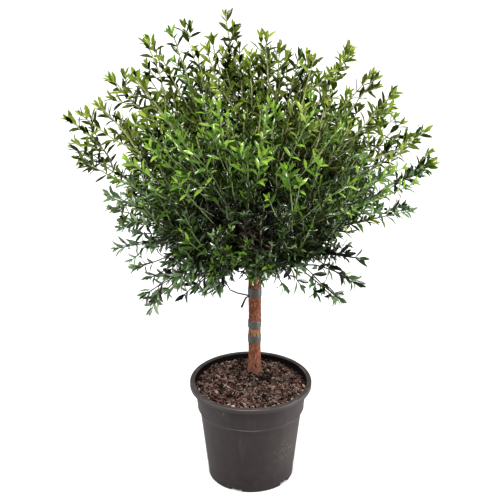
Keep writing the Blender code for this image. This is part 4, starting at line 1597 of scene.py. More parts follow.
def build_bare_twigs(settings):
    """The bare twig and the dead tip beside the stem, and the stub in front of its foot."""
    points, sides = BARE_TWIG_POINTS, BARE_TWIG_SIDES
    given = np.arange(float(len(BARE_TWIGS[0][2])))
    places = np.linspace(0.0, given[-1], points)
    paths = np.stack([points_at(np.array(path), given, places) for _, _, path in BARE_TWIGS])
    radii = np.array([[radius] for _, radius, _ in BARE_TWIGS]) * np.linspace(1.0, BARE_TWIG_TAPER, points)
    verts, faces = tubes(paths, radii, sides)
    firsts = np.arange(len(paths))[:, None] * points * sides
    feet = firsts + np.arange(sides)[::-1]
    tips = firsts + (points - 1) * sides + np.arange(sides)
    finishes = [stem_finish("bare_twig", settings.dark, 0.8), stem_finish("bare_stub", settings.stub, 0.9)]
    kinds = [int(name == "stub") for name, _, _ in BARE_TWIGS]
    picks = np.concatenate((np.repeat(kinds, (points - 1) * sides), kinds, kinds))
    faces = faces.tolist() + feet.tolist() + tips.tolist()
    make_piece("bare_twigs", verts, faces, finishes, picks=picks)


def tie_rings(low, high, index, thickness):
    """Rows of points up the outside of a tie and down its inside, closed by its first row."""
    across = np.linspace(0.0, 1.0, TIE_ROWS)
    turns = turns_round(TIE_SIDES)
    heights = low + (high - low) * across
    crown = np.sqrt(np.clip(1.0 - (2.0 * across - 1.0) ** 6, 0.0, 1.0))
    start = 2.0 * math.pi * (TIE_START + TIE_START_STEP * index)
    lap = ((turns - start) / (2.0 * math.pi)) % 1.0
    wound = GAP + thickness * (TIE_CROWN * crown[:, None] + TIE_STEP * (lap[None] < TIE_LAP))
    seam_off = np.abs(across - TIE_SEAM - TIE_SEAM_SHIFT * index)[:, None]
    seam = np.clip(seam_off / TIE_SEAM_WIDTH, 0.0, 1.0)
    outer = trunk_rings(heights, TIE_SIDES, thickness * 0.5)
    reach = wound * (TIE_SEAM_SHARE + (1.0 - TIE_SEAM_SHARE) * seam)
    outer = outer + reach[..., None] * circle(TIE_SIDES)
    (slow, slow_depth), (quick, quick_depth) = TIE_WAVES
    wave = slow_depth * np.sin(slow * turns + index) + quick_depth * np.sin(quick * turns)
    edge = np.minimum(across, 1.0 - across)[:, None] < TIE_EDGE
    outer[..., 2] += np.where(edge, wave[None] * np.where(across[:, None] < 0.5, 1.0, -1.0) * 0.5, 0.0)
    inner = trunk_rings(heights[::-1], TIE_SIDES, -TIE_INSET)
    return np.concatenate((outer, inner, outer[:1]))


def build_ties(settings):
    """Soft bands round the stem: each is wound twice, so its outer turn ends in a step."""
    plastic = tie_plastic(settings)
    for index, name in enumerate(tie_nodes()):
        low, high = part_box(name)
        rings = tie_rings(low.z, high.z, index, settings.thickness)
        faces = grid_faces(len(rings), TIE_SIDES)
        make_piece(
            f"{name}_band", rings.reshape(-1, 3), faces, [plastic], [name], sharp=TIE_SHARP_ANGLE)


# Crown: the source's growing rule, carried to finer twigs

def aim(bearing, elevation):
    """The unit direction at a bearing round from +X and an angle above level, both in degrees."""
    turn, rise = np.radians(bearing), np.radians(elevation)
    return np.stack((np.cos(rise) * np.cos(turn), np.cos(rise) * np.sin(turn), np.sin(rise)), axis=-1)


def tier_masses():
    """Name, tier, direction and bough's drop for each mass."""
    masses = []
    for tier, count, elevation, first, drop in TIERS:
        for i in range(count):
            name = tier if count == 1 else f"{tier}_{i + 1}"
            masses.append((name, tier, aim(first + 360.0 / count * i, elevation), drop))
    return masses


def crown_reach(ways):
    """How far the crown reaches from the fork in these directions."""
    elevations = np.degrees(np.arcsin(np.clip(ways[..., 2], -1.0, 1.0)))
    level = unit(ways * (1.0, 1.0, 0.0))
    facing = np.maximum(0.0, -level[..., 1])
    low = np.clip(1.0 - elevations / SKIRT_TOP, 0.0, 1.0)
    return along(REACH, elevations) * (1.0 - SHORT_SKIRT * facing * low)


def layer_tips(layer, count, rng):
    """Tips spread round the fork, more of them high up, within this layer's shares of the reach."""
    index = np.arange(count) + 0.5
    floor = math.sin(math.radians(CROWN_FLOOR))
    turns = GOLDEN_TURN * index + rng.normal(0.0, TURN_SPREAD, count)
    rises = floor + (1.0 - floor) * (index / count) ** TOP_BIAS
    rises = np.clip(rises + rng.normal(0.0, RISE_SPREAD, count), *RISE_LIMITS)
    level = np.sqrt(1.0 - rises ** 2)
    ways = np.stack((np.cos(turns) * level, np.sin(turns) * level, rises), axis=-1)
    elevations = np.degrees(np.arcsin(rises))
    shares = fill_shares(ways, turns, elevations) * rng.uniform(layer.nearest, layer.furthest, count)
    reach = crown_reach(ways) * shares - TUFT
    front = np.maximum(0.0, -np.sin(turns)) ** 2
    hangs = elevations > CROWN_FLOOR + FRONT_RISE * front
    sideways = np.clip(2.0 * np.abs(np.cos(turns)), 0.0, 1.0)
    kept = rng.random(count) > sideways * np.clip(-elevations / LOW_LOSS_BAND, 0.0, LOW_LOSS)
    return within_box(FORK + ways * reach[:, None])[hangs & kept]


def within_box(points, root=FORK, margin=TUFT):
    """Points drawn in towards their root until they fit the solids' box; those of a leaf by one share."""
    low = np.array(CAD_BOX[0]) + margin
    high = np.array(CAD_BOX[1]) - margin
    off = points - root
    room = np.maximum(np.where(off > 0.0, high - root, root - low), 1e-6)
    past = (np.abs(off) / room).max(axis=tuple(range(1, points.ndim)), keepdims=True)
    return root + off / np.maximum(past, 1.0)


def fill_shares(ways, turns, elevations):
    """How far the many shoots reach, as shares of the crown's reach, with its clumps and its dent."""
    right = np.clip((SHORT_RIGHT_TOP - elevations) / SHORT_RIGHT_BAND, 0.0, 1.0)
    right = np.maximum(0.0, np.cos(turns)) * right
    clumps = np.array([noise.noise(way * CLUMPS_ACROSS) for way in ways])
    fill = along(FILL, elevations) * (1.0 - SHORT_RIGHT * right)
    fill = fill * (1.0 + CLUMP_DEPTH * (clumps - CLUMP_LEVEL))
    off = np.degrees(np.arccos(np.clip(ways @ aim(*DENT_PLACE), -1.0, 1.0)))
    return fill * (1.0 - DENT_DEPTH * np.clip(1.0 - off / DENT_ACROSS, 0.0, 1.0))


def best_node(nodes, headings, turn, tip, least):
    """The point already grown that a new shoot leaves from: near its turn, and not at a sharp angle."""
    runs = turn - nodes
    lengths = np.linalg.norm(runs, axis=1)
    bend = 1.0 - (unit(runs) * headings).sum(-1)
    short = np.linalg.norm(tip - nodes, axis=1) < least
    return int(np.argmin(lengths * (1.0 + TURN_COST * bend) + SHORT_COST * short))


def shoot_turn(tip, layer):
    """Where a shoot turns towards its tip: below it, as shoots rise towards the light, front ones most."""
    way = unit(tip - FORK)
    high = float(np.clip((math.degrees(math.asin(way[2])) - RISE_START) / RISE_BAND, 0.0, 1.0))
    rise = layer.lift * high * (RISE_AT_SIDES + abs(way[1]) / math.hypot(way[0], way[1]))
    return tip - unit(way + UP * rise) * layer.run + UP * (DROOP * layer.run * (1.0 - high))


def grow_mass(direction, tips, kinds, rng):
    """The limbs of one mass from its own stem outwards, as points, kind and whether it is the stem."""
    distances = np.linalg.norm(tips - FORK, axis=1)
    stem = int(np.argmax(unit(tips - FORK) @ direction + STEM_FAVOUR * (distances > STEM_LENGTH)))
    order = [stem] + [i for i in np.argsort(distances) if i != stem]
    foot = FORK + direction * (BOUGH_REACH + GAP)
    nodes = [foot]
    headings = [direction]
    limbs = []
    for i in order:
        tip, layer = tips[i], LAYERS[kinds[i]]
        if i == stem:
            start = foot
            turn = foot + direction * layer.run
        else:
            turn = shoot_turn(tip, layer)
            start = nodes[best_node(np.array(nodes), np.array(headings), turn, tip, layer.least)]
        points = curve_points(start, turn, tip, SHOOT_POINTS)
        points[1:-1] += rng.normal(0.0, SHOOT_WANDER, points[1:-1].shape)
        points = within_box(points)
        limbs.append((points, kinds[i], i == stem))
        steps = max(LEAST_STEPS, int(np.linalg.norm(tip - start) / NODE_STEP))
        for share in np.arange(1, steps) / steps * (SHOOT_POINTS - 1):
            if share < NODES_END * (SHOOT_POINTS - 1):
                low = int(share)
                nodes.append(points[low] + (points[low + 1] - points[low]) * (share - low))
                headings.append(unit(points[low + 1] - points[low]))
    return limbs


def spot_at(place):
    """The point at a bearing, degrees up and reach from the fork."""
    bearing, up, reach = place
    return FORK + aim(bearing, up) * reach


def on_crown(place, share):
    """The point at a bearing and degrees up from the fork, at this share of the crown's reach."""
    way = aim(*place)
    return FORK + way * (crown_reach(way) * share)


def edge_spots(stage, rng):
    """Where the outline's own shoots end: each is moved along its line of sight, so it keeps its place."""
    eye = np.array((stage.camera_x, -stage.camera_distance, stage.camera_height))
    spots = np.array([FORK + np.array((across, 0.0, up)) for across, up in EDGE_SHOOTS])
    shift = rng.uniform(-EDGE_DEPTH, EDGE_DEPTH, len(spots)) / (FORK[1] - eye[1])
    return spots + (spots - eye) * shift[:, None]


def nearest(points, others):
    """How far each point is from the nearest of the others."""
    return np.linalg.norm(points[:, None] - others[None], axis=-1).min(axis=1)


def front_shoots(feet, rng):
    """The bright shoots at the front, each from its foot, with its own size of leaf."""
    limbs = []
    for (tip, _, size, leafy), start in zip(FRONT_SHOOTS, feet):
        end = within_box(on_crown(tip, FRONT_TIP_SHARE)[None])[0]
        middle = (start + end) * 0.5 + rng.normal(0.0, FRONT_BEND, 3)
        layer = LAYERS["front"]
        layer = layer._replace(
            size=layer.size * size, slim=layer.slim * size, leafy=leafy, base=layer.base * size ** 2)
        limbs.append(("upper", curve_points(start, middle, end, SHOOT_POINTS), layer, False))
    return limbs


def grow_crown(settings, stage):
    """Every limb of the crown, as tier, points, layer, and whether it is a mass's stem."""
    rng = np.random.default_rng(settings.seed)
    leaders = np.array([spot_at(place) for place in LEADERS])
    edges = edge_spots(stage, rng)
    edges = edges[nearest(edges, leaders) > EDGE_SPACING]
    longest = np.concatenate((leaders, edges))
    longest -= unit(longest - FORK) * TUFT
    feet = np.array([on_crown(foot, FRONT_FOOT_SHARE) for _, foot, _, _ in FRONT_SHOOTS])
    outer = layer_tips(LAYERS["outer"], settings.outer, rng)
    groups = (
        ("leader", within_box(longest)),
        ("wood", feet),
        ("outer", outer[nearest(outer, longest) > OUTER_SPACING]),
        ("middle", layer_tips(LAYERS["middle"], settings.middle, rng)),
        ("inner", layer_tips(LAYERS["inner"], settings.inner, rng)),
    )
    tips = np.concatenate([group for _, group in groups])
    kinds = [kind for kind, group in groups for _ in group]
    masses = tier_masses()
    owner = np.argmax(unit(tips - FORK) @ np.array([mass[2] for mass in masses]).T, axis=1)
    limbs = []
    for index, (_, tier, direction, _) in enumerate(masses):
        mine = np.flatnonzero(owner == index)
        for points, kind, stem in grow_mass(direction, tips[mine], [kinds[i] for i in mine], rng):
            limbs.append((tier, points, LAYERS[kind], stem))
    return limbs + front_shoots(feet, rng)


def lengths_along(points):
    """Distance from the first point to each point."""
    steps = np.linalg.norm(np.diff(points, axis=0), axis=1)
    return np.concatenate(((0.0,), np.cumsum(steps)))


def points_at(points, lengths, distances):
    """Points at these distances along a limb."""
    return np.stack([np.interp(distances, lengths, points[:, k]) for k in range(3)], axis=-1)


def shoot_nodes(points, leafy, step, rng):
    """Where pairs of leaves sit, from the tip inwards, and which way the shoot heads there."""
    lengths = lengths_along(points)
    rest = TIP_GAPS[-1] + np.cumsum(step * rng.uniform(*GAP_SPREAD, MOST_PAIRS))
    back = np.concatenate((TIP_GAPS, rest))
    at = lengths[-1] - back[back < min(leafy, lengths[-1] - HEADING_STRETCH)]
    ahead = points_at(points, lengths, at + HEADING_STRETCH)
    behind = points_at(points, lengths, at - HEADING_STRETCH)
    return points_at(points, lengths, at), unit(ahead - behind)


def leaf_rows(spots, headings, out, light, growth, layer, tone, rng):
    """One leaf at each pair's place, on the side that out gives, and which of them haven't been lost."""
    count = len(spots)
    angles, shares, youth, lost = growth.T
    flat = 1.0 - headings[:, 2]
    lean = np.radians(angles + rng.normal(0.0, ANGLE_SPREAD, count))[:, None]
    ways = unit(headings * np.cos(lean) + out * np.sin(lean))
    lift = (FACE_UP[0] + FACE_UP[1] * flat[:, None]) * rng.uniform(*FACE_UP_SPREAD, (count, 1))
    turned = light * rng.uniform(*LIGHT_TURN, (count, 1))
    normals = headings * np.sin(lean) - out * np.cos(lean) + UP * lift + turned
    normals = unit(normals - (normals * ways).sum(-1, keepdims=True) * ways)
    long = layer.size * shares * rng.uniform(*LENGTH_SPREAD, count)
    wide = long ** WIDTH_POWER * layer.slim * rng.uniform(*WIDTH_SPREAD, count)
    curls = (CURL[0] + CURL[1] * flat) * along(CURL_BY_PAIR, np.arange(count))
    curls = curls + rng.normal(0.0, CURL_SPREAD, count) + CURL_NARROW * max(0.0, CURL_NARROW - layer.slim)
    tones = np.clip(np.rint(tone + youth + rng.normal(0.0, TONE_SPREAD, count)), 0, LEAF_TONES - 1)
    measures = np.stack((long, wide, curls, tones), axis=-1)
    return np.concatenate((spots, ways, normals, measures), axis=1), rng.random(count) > lost


def dress_shoot(points, layer, palette, tone, rng):
    """The leaves of one shoot, in pairs set crosswise, and the buds in their axils."""
    spots, headings = shoot_nodes(points, layer.leafy, layer.step, rng)
    count = len(spots)
    if count == 0:
        return np.empty((0, FINISH + 1))
    pairs = np.arange(count)
    growth = np.stack(along(LEAF_GROWTH, pairs), axis=-1)
    buds = growth * BUD_SHARES + (0.0, 0.0, BUD_YOUTH, layer.budless)
    light = np.array((0.0, -1.0 if points[-1][1] < BACK_START else 1.0, LIGHT_UP))
    reference = unit(np.cross(headings[0], UP + rng.normal(0.0, TWIST_SPREAD, 3)))
    first = unit(reference - (headings @ reference)[:, None] * headings)
    second = np.cross(headings, first)
    twist = rng.uniform(0.0, math.pi)
    leaves = []
    for side in (0.0, math.pi):
        turns = twist + side + pairs * (math.pi * 0.5) + rng.normal(0.0, CROSS_SPREAD, count)
        out = first * np.cos(turns)[:, None] + second * np.sin(turns)[:, None]
        for kind, first_pair in ((growth, 0), (buds, FIRST_BUD)):
            rows, kept = leaf_rows(spots, headings, out, light, kind, layer, tone, rng)
            rows[:, FINISH] += palette * LEAF_TONES
            leaves.append(rows[kept & (pairs >= first_pair)])
    return np.concatenate(leaves)


def leaf_blades(leaves, rings):
    """Vertices of leaves, each a pointed blade folded along its midrib and bent along its length."""
    roots, ways, normals = leaves[:, ROOT], leaves[:, WAY], leaves[:, NORMAL]
    long, wide, curls = leaves[:, LONG], leaves[:, WIDE], leaves[:, CURLED]
    curls = np.where(np.abs(curls) < LEAST_CURL, LEAST_CURL, curls)
    sides = np.cross(normals, ways)
    rows = []
    for share, width in ((0.0, 0.0), *rings, (1.0, 0.0)):
        turn = curls * share
        ahead = (long * np.sin(turn) / curls)[:, None]
        down = (long * (1.0 - np.cos(turn)) / curls)[:, None]
        middle = roots + ways * ahead - normals * down
        if width == 0.0:
            rows.append(middle[:, None])
            continue
        facing = normals * np.cos(turn)[:, None] + ways * np.sin(turn)[:, None]
        half = (wide * width * 0.5)[:, None]
        lift = facing * half * math.sin(LEAF_FOLD)
        spread = sides * half * math.cos(LEAF_FOLD)
        rows.append(np.stack((middle - spread + lift, middle, middle + spread + lift), axis=1))
    return np.concatenate(rows, axis=1)


def blade_faces(count, rings):
    """Faces of this many leaves, quads first, and how many quads and triangles each leaf has."""
    tip = 1 + 3 * len(rings)
    quads = []
    for low in range(1, tip - 3, 3):
        quads += [(low, low + 1, low + 4, low + 3), (low + 1, low + 2, low + 5, low + 4)]
    ends = [(0, 2, 1), (0, 3, 2), (tip - 3, tip - 2, tip), (tip - 2, tip - 1, tip)]
    first = (np.arange(count) * (tip + 1))[:, None, None]
    faces = (np.array(quads)[None] + first).reshape(-1, 4).tolist()
    faces += (np.array(ends)[None] + first).reshape(-1, 3).tolist()
    return faces, len(quads), len(ends)


def leaf_tone(old, full, young, share):
    """A leaf's colour from oldest (0) through full-grown (1) to youngest (2), a scale that also carries
    painted shade and painted light.
    """
    if share < 1.0:
        return old ** (1.0 - share) * full ** share
    return full ** (2.0 - share) * young ** (share - 1.0)


def leaf_finishes(settings):
    """The tones of each family of greens, and of the dry leaves, with paler patches and undersides."""
    finishes = []
    for name, gloss, *others in LEAF_PALETTES:
        old, young, under = (np.array(colour) for colour in others)
        full = np.array(getattr(settings, name))
        for index in range(LEAF_TONES):
            age = index / (LEAF_TONES - 1)
            colour = leaf_tone(old, full, young, 2.0 * index / (LEAF_TONES - 1))
            finish = Finish(f"leaf_{name}_{index + 1}", colour, LEAF_ROUGHNESS, gloss)
            patches = finish.mottle(Scale=75.0, Detail=2.0, Low=0.35, High=0.65)
            face = finish.blend(patches.outputs["Mask"], *(colour * share for share in PATCH_SHADES))
            back = finish.nodes.new("ShaderNodeNewGeometry").outputs["Backfacing"]
            # Undersides darken with the tone, so they carry its painted shade too
            underside = under * (UNDERSIDE_DARKEST + (1.0 - UNDERSIDE_DARKEST) * age)
            finish.colour(finish.blend(back, face, mixed(colour, underside, UNDERSIDE_SHARE)))
            finishes.append(finish.material)
    return finishes


def side_twigs(points, rng, count):
    """Short twigs from the axils of a shoot."""
    lengths = lengths_along(points)
    twigs = []
    for _ in range(count):
        at = lengths[-1] * rng.uniform(*TWIG_PLACES)
        spot, ahead = points_at(points, lengths, np.array((at, at + HEADING_STRETCH)))
        heading = unit(ahead - spot)
        out = unit(np.cross(heading, rng.normal(0.0, 1.0, 3)))
        long = rng.uniform(*TWIG_LENGTHS)
        way = unit(heading + out * rng.uniform(*TWIG_SPREADS))
        middle = spot + unit(way + out * TWIG_BEND) * long * 0.5
        twigs.append(curve_points(spot, middle, spot + way * long, TWIG_POINTS))
    return twigs


def spray_look(tip, layer, rng):
    """Which greens a spray takes and how bright it is, as painted light and shade: fresh in front, olive
    high up, deep below.
    """
    across, depth, up = tip - FORK
    height = up - DEPTH_FALL * abs(depth)
    sideways = (across - SUNNY_PLACE[0]) / SUNNY_SPREAD[0]
    upward = (height - SUNNY_PLACE[1]) / SUNNY_SPREAD[1]
    sunny = math.exp(-sideways ** 2 - upward ** 2) * (depth < 0.0)
    high = float(np.clip(height - HIGH_LEVEL, *HIGH_RANGE) / HIGH_BAND)
    # Painted light in the sunny place and high up, painted shade lower down
    lit = SUNNY_TONE * sunny + PAINTED_LIGHT_BY_HEIGHT * high
    tone = layer.tone + lit * (layer.furthest - SHELTERED) / SHELTERED_BAND + rng.normal(0.0, SPRAY_SPREAD)
    sky = float(np.clip((height - SKY_LEVEL) / SKY_BAND, 0.0, 1.0))
    if layer.furthest < 1.0:
        tone += SKY_PAINTED_LIGHT * sky
    if layer.tone > BRIGHT_TONE:
        return FRESH, tone - BRIGHT_LOW_PAINTED_SHADE * (height < BRIGHT_LOW)
    # Inner sprays take the deep greens, as painted shade inside the crown
    if layer is LAYERS["inner"] and sky < 0.5:
        return DEEP, tone
    # Low sprays take the deep greens, as painted shade
    if height < rng.normal(*LOW_HEIGHT):
        low_front = height < LOW_FRONT_HEIGHT and depth < LOW_FRONT_DEPTH and rng.random() < LOW_FRONT_SHARE
        tone += LOW_TONE - LOW_FRONT_LOSS * low_front + rng.normal(0.0, LOW_SPREAD)
        return (FRESH if low_front else DEEP), tone
    # Front sprays low down get painted shade
    tone += sunny * rng.normal(*SUNNY_MIX) - FRONT_LOW_PAINTED_SHADE * (depth < DULL_DEPTH and up < DULL_UNDER)
    return (FRESH if sunny > rng.normal(*FRESH_SUN) or depth < FRESH_DEPTH else OLIVE), tone


def in_window(spots, wider=1.0):
    """Whether these points lie in the open place at the front, or in one this much wider."""
    way = aim(*WINDOW_PLACE)
    off = spots - FORK
    depth = off @ way
    across = np.linalg.norm((off - depth[:, None] * way) * (1.0 / WINDOW_STRETCH, 1.0, 1.0), axis=1)
    return (depth > WINDOW_START) & (across < WINDOW_RADIUS * wider)


def front_share(tip):
    """How near a tip is to the front's middle, from 0 to 1."""
    return max(0.0, float(unit(tip - FORK) @ aim(-90.0, FRONT_UP))) ** 2


def spray_layer(tip, layer, rng):
    """The layer as this spray has it: thin at the bottom, small in front, large at the top."""
    leafy = layer.leafy * rng.uniform(*LEAFY_SPREAD)
    if tip[2] < FORK[2] - THIN_DROP and layer.furthest == 1.0:
        return layer._replace(
            size=layer.size * THIN_SIZE, slim=layer.slim * THIN_SLIM,
            step=layer.step * THIN_STEP, leafy=layer.leafy * THIN_LEAFY)
    if layer.tone > BRIGHT_TONE:
        return layer._replace(leafy=leafy)
    top = tip[2] > FORK[2] + TOP_START
    scale = SPRAY_SIZE - FRONT_SMALLER * front_share(tip) + TOP_LARGER * top
    return layer._replace(
        size=layer.size * scale, slim=layer.slim * scale,
        step=layer.step * (1.0 + TOP_STEP * top), leafy=leafy)


def twig_layer(layer):
    """The layer as a side twig of one of its shoots has it."""
    return layer._replace(size=layer.size * TWIG_LEAF_SIZE, leafy=TWIG_LEAFY, step=TWIG_STEP)


def build_crown(settings, stage):
    """All the twigs and leaves, joined by kind and tier."""
    rng = np.random.default_rng(settings.seed + 1)
    leaves = {(tier[0], place): [] for tier in TIERS for place in ("inner", "outer")}
    shoots = []
    twigs = []
    for tier, points, layer, stem in grow_crown(settings, stage):
        tip = points[-1]
        bright = layer.tone > BRIGHT_TONE
        green = layer.green * (1.0 if bright else 1.0 - BROWN_FRONT * front_share(tip))
        shoots.append((points, BOUGH_TIP_RADIUS if stem else layer.base, green))
        if layer.leafy == 0.0:
            continue
        palette, tone = spray_look(tip, layer, rng)
        dressed = spray_layer(tip, layer, rng)
        place = "outer" if layer.furthest == 1.0 else "inner"
        leaves[tier, place].append(dress_shoot(points, dressed, palette, tone, rng))
        for twig in side_twigs(points, rng, layer.twigs):
            twigs.append((twig, TWIG_RADIUS, TWIG_GREEN))
            leaves[tier, "inner"].append(
                dress_shoot(twig, twig_layer(dressed), palette, tone - TWIG_PAINTED_SHADE, rng))
    finishes = leaf_finishes(settings)
    for (tier, place), sprays in leaves.items():
        rings = LEAF_RINGS if place == "outer" else PLAIN_LEAF_RINGS
        join_leaves(f"leaves_{tier}_{place}", tier, np.concatenate(sprays), rings, finishes, settings)
    build_twigs("long_shoots", shoots, 4, settings)
    build_twigs("side_twigs", twigs, 3, settings)


def join_leaves(name, tier, rows, rings, finishes, settings):
    """One piece of many leaves: those in the open place are dry and small, and all fit the solids' box."""
    rows[:, LONG] *= settings.leaf_length
    rows[:, WIDE] *= settings.leaf_width
    middles = rows[:, ROOT] + rows[:, WAY] * (rows[:, LONG, None] * 0.5)
    ragged = np.random.default_rng(settings.seed + 2).uniform(*WINDOW_RAGGED, len(rows))
    dry = in_window(middles, ragged) & (rows[:, FINISH] // LEAF_TONES != FRESH)
    rows[dry, LONG] *= DRY_SIZE
    rows[dry, WIDE] *= DRY_SIZE
    rows[dry, FINISH] = rows[dry, FINISH] % LEAF_TONES + DRY * LEAF_TONES
    blades = within_box(leaf_blades(rows, rings), rows[:, None, ROOT], 0.0)
    faces, quads, ends = blade_faces(len(rows), rings)
    picks = rows[:, FINISH].astype(int)
    picks = np.concatenate((np.repeat(picks, quads), np.repeat(picks, ends)))
    nodes = [f"foliage_{mass[0]}" for mass in tier_masses() if mass[1] == tier]
    make_piece(name, blades.reshape(-1, 3), faces, finishes, nodes, picks=picks)


def stem_finish(name, colour, roughness):
    """Twig bark, mottled along its length."""
    finish = Finish(name, colour, roughness)
    patches = finish.mottle(Scale=160.0, Detail=3.0, Low=0.35, High=0.65)
    dark, light = (shaded(colour, share) for share in STEM_SHADES)
    finish.colour(finish.blend(patches.outputs["Mask"], dark, light))
    finish.roughness(patches.outputs["Mask"], roughness, roughness + 0.15)
    return finish.material


def in_steps(values, start, band):
    """0 up to start, 1 from there over the band, and 2 past it."""
    return (values > start).astype(int) + (values > start + band)


def build_twigs(name, limbs, sides, settings):
    """One piece of many twigs; woody ones turn green towards their tips."""
    paths = np.array([points for points, _, _ in limbs])
    shares = np.linspace(0.0, 1.0, paths.shape[1])
    radii = np.array([base + (TWIG_TIP_RADIUS - base) * shares for _, base, _ in limbs])
    verts, faces = tubes(paths, radii, sides)
    finishes = [
        stem_finish(f"{name}_old", settings.brown_stem, 0.8),
        stem_finish(f"{name}_middle", mixed(settings.brown_stem, settings.green_stem, 0.45), 0.65),
        stem_finish(f"{name}_young", settings.green_stem, 0.5),
        stem_finish(f"{name}_sunny", settings.sunny_stem, 0.5),
    ]
    starts = paths[:, :-1]
    back = np.linalg.norm(paths[:, -1:] - starts, axis=-1)
    green = np.array([limit for _, _, limit in limbs])[:, None]
    above = starts[..., 2] - FORK[2]
    picks = (back < green).astype(int) + (back < green * GREEN_FADE)
    picks = np.minimum(picks, in_steps(np.linalg.norm(starts - FORK, axis=-1), OLD_WOOD, WOOD_BAND))
    picks = np.minimum(picks, in_steps(above, SHADED_WOOD, WOOD_BAND))
    # Young stems high up and not in front take the sunny colour, partly painted light
    picks = picks + ((picks == 2) & (above > SUNNY_WOOD) & (starts[..., 1] > SUNNY_START))
    picks = picks.reshape(-1) * ~in_window(starts.reshape(-1, 3), WOOD_WINDOW)
    nodes = [node for node in sorted(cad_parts) if node.startswith("foliage_")]
    make_piece(name, verts, faces.tolist(), finishes, nodes, picks=np.repeat(picks, sides))


# Stage

def floor_finish(colour):
    """A white floor that throws back less light than it shows."""
    finish = Finish("studio_floor", colour, 0.9, 0.0)
    seen = finish.nodes.new("ShaderNodeLightPath").outputs["Is Camera Ray"]
    finish.colour(finish.blend(seen, shaded(colour, FLOOR_BOUNCE), colour))
    return finish.material


def build_floor(colour):
    """The pale floor, which ends where the light on it fades."""
    mesh = bpy.data.meshes.new("studio_floor")
    half = FLOOR_HALF
    corners = ((-half, -half, 0.0), (half, -half, 0.0), (half, half, 0.0), (-half, half, 0.0))
    mesh.from_pydata(corners, [], [(0, 1, 2, 3)])
    mesh.materials.append(floor_finish(colour))
    new_object("studio_floor", mesh)


def white_surround(strength):
    """A surround that looks white, and lights the plant less than it shows."""
    world = bpy.data.worlds.new("studio_surround")
    world.use_nodes = True
    nodes = world.node_tree.nodes
    background = nodes["Background"]
    background.inputs["Color"].default_value = (1.0, 1.0, 1.0, 1.0)
    path = nodes.new("ShaderNodeLightPath")
    amount = nodes.new("ShaderNodeMapRange")
    amount.inputs["To Min"].default_value = strength
    connect(
        world.node_tree,
        (path, "Is Camera Ray", amount, "Value"),
        (amount, "Result", background, "Strength"),
    )
    return world


def add_camera(settings):
    """The camera at the photo's angle."""
    camera = bpy.data.cameras.new("studio_camera")
    camera.lens = settings.lens
    eye = new_object("studio_camera", camera)
    eye.location = (settings.camera_x, -settings.camera_distance, settings.camera_height)
    eye.rotation_euler = (math.pi * 0.5 - settings.pitch, 0.0, 0.0)
    bpy.context.scene.camera = eye


def build_stage(settings):
    """A pale floor, a white surround, soft lights, and the camera."""
    build_floor(settings.floor)
    bpy.context.scene.world = white_surround(settings.sky)
    ceiling = add_light("ceiling", settings.ceiling)
    ceiling.visible_glossy = False
    add_light("key", settings.key)
    glint = add_light("glint", settings.glints)
    glint.visible_diffuse = False
    add_light("left", settings.sides)
    add_light("right", settings.sides * RIGHT_SHARE)
    add_camera(settings)
    bpy.context.scene.view_settings.view_transform = "Standard"
    bpy.context.scene.view_settings.look = "Medium High Contrast"


def add_light(name, power):
    """A square soft light that faces its target."""
    place, size, target = LIGHTS[name]
    lamp = bpy.data.lights.new(f"{name}_light", "AREA")
    lamp.size = size
    lamp.energy = power
    light = new_object(f"{name}_light", lamp)
    light.location = place
    light.rotation_euler = (Vector(target) - Vector(place)).to_track_quat("-Z", "Y").to_euler()
    light.visible_camera = False
    return light


# Operators

class MYRTLE_OT_pot(bpy.types.Operator):
    """Build the nursery pot"""
    bl_idname = "myrtle.pot"
    bl_label = "Pot"

    def execute(self, context):
        build_pot(context.scene.myrtle_pot)
        return {"FINISHED"}


class MYRTLE_OT_compost(bpy.types.Operator):
    """Build the compost with its chips and fibres"""
    bl_idname = "myrtle.compost"
    bl_label = "Compost"

    def execute(self, context):
        settings = context.scene.myrtle_compost
        build_compost(settings)
        scatter_chips(settings)
        scatter_fibres(settings)
        return {"FINISHED"}


class MYRTLE_OT_stem(bpy.types.Operator):
    """Build the bark of the trunk and boughs, and the bare twigs"""
    bl_idname = "myrtle.stem"
    bl_label = "Trunk and boughs"

    def execute(self, context):
        settings = context.scene.myrtle_stem
        bark = stem_bark(settings)
        build_trunk(bark, settings)
        build_boughs(bark, settings)
        build_bare_twigs(settings)
        return {"FINISHED"}


class MYRTLE_OT_ties(bpy.types.Operator):
    """Build the soft ties round the stem"""
    bl_idname = "myrtle.ties"
    bl_label = "Ties"

    def execute(self, context):
        build_ties(context.scene.myrtle_ties)
        return {"FINISHED"}


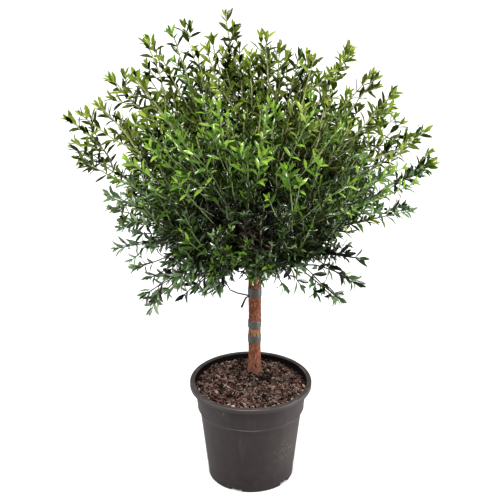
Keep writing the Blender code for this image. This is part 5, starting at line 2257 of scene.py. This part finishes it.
class MYRTLE_OT_crown(bpy.types.Operator):
    """Grow the twigs and leaves"""
    bl_idname = "myrtle.crown"
    bl_label = "Crown"

    def execute(self, context):
        build_crown(context.scene.myrtle_crown, context.scene.myrtle_stage)
        return {"FINISHED"}


class MYRTLE_OT_stage(bpy.types.Operator):
    """Set up the floor, lights and camera"""
    bl_idname = "myrtle.stage"
    bl_label = "Stage"

    def execute(self, context):
        build_stage(context.scene.myrtle_stage)
        return {"FINISHED"}


class MYRTLE_PT_panel(bpy.types.Panel):
    """Lists the steps in order"""
    bl_idname = "MYRTLE_PT_panel"
    bl_label = "Potted Myrtle"
    bl_space_type = "VIEW_3D"
    bl_region_type = "UI"
    bl_category = "Myrtle"

    def draw(self, context):
        for operator, group in STEPS:
            self.layout.operator(operator.bl_idname)
            settings = getattr(context.scene, group)
            for name in settings.bl_rna.properties.keys():
                if name not in {"rna_type", "name"}:
                    self.layout.prop(settings, name)


SETTINGS = {
    "myrtle_pot": PotSettings,
    "myrtle_compost": CompostSettings,
    "myrtle_stem": StemSettings,
    "myrtle_ties": TieSettings,
    "myrtle_crown": CrownSettings,
    "myrtle_stage": StageSettings,
}
STEPS = (
    (MYRTLE_OT_stage, "myrtle_stage"),
    (MYRTLE_OT_pot, "myrtle_pot"),
    (MYRTLE_OT_compost, "myrtle_compost"),
    (MYRTLE_OT_stem, "myrtle_stem"),
    (MYRTLE_OT_ties, "myrtle_ties"),
    (MYRTLE_OT_crown, "myrtle_crown"),
)
CLASSES = (*SETTINGS.values(), *(step[0] for step in STEPS), MYRTLE_PT_panel)


def register():
    """Register the classes, and give the scene their settings."""
    for cls in CLASSES:
        bpy.utils.register_class(cls)
    for name, group in SETTINGS.items():
        setattr(bpy.types.Scene, name, PointerProperty(type=group))


def unregister():
    """Take the settings and the classes away again."""
    for name in SETTINGS:
        delattr(bpy.types.Scene, name)
    for cls in reversed(CLASSES):
        bpy.utils.unregister_class(cls)


def main():
    """Build the whole plant and its stage."""
    register()
    bpy.ops.myrtle.stage()
    bpy.ops.myrtle.pot()
    bpy.ops.myrtle.compost()
    bpy.ops.myrtle.stem()
    bpy.ops.myrtle.ties()
    bpy.ops.myrtle.crown()


if __name__ == "__main__":
    main()
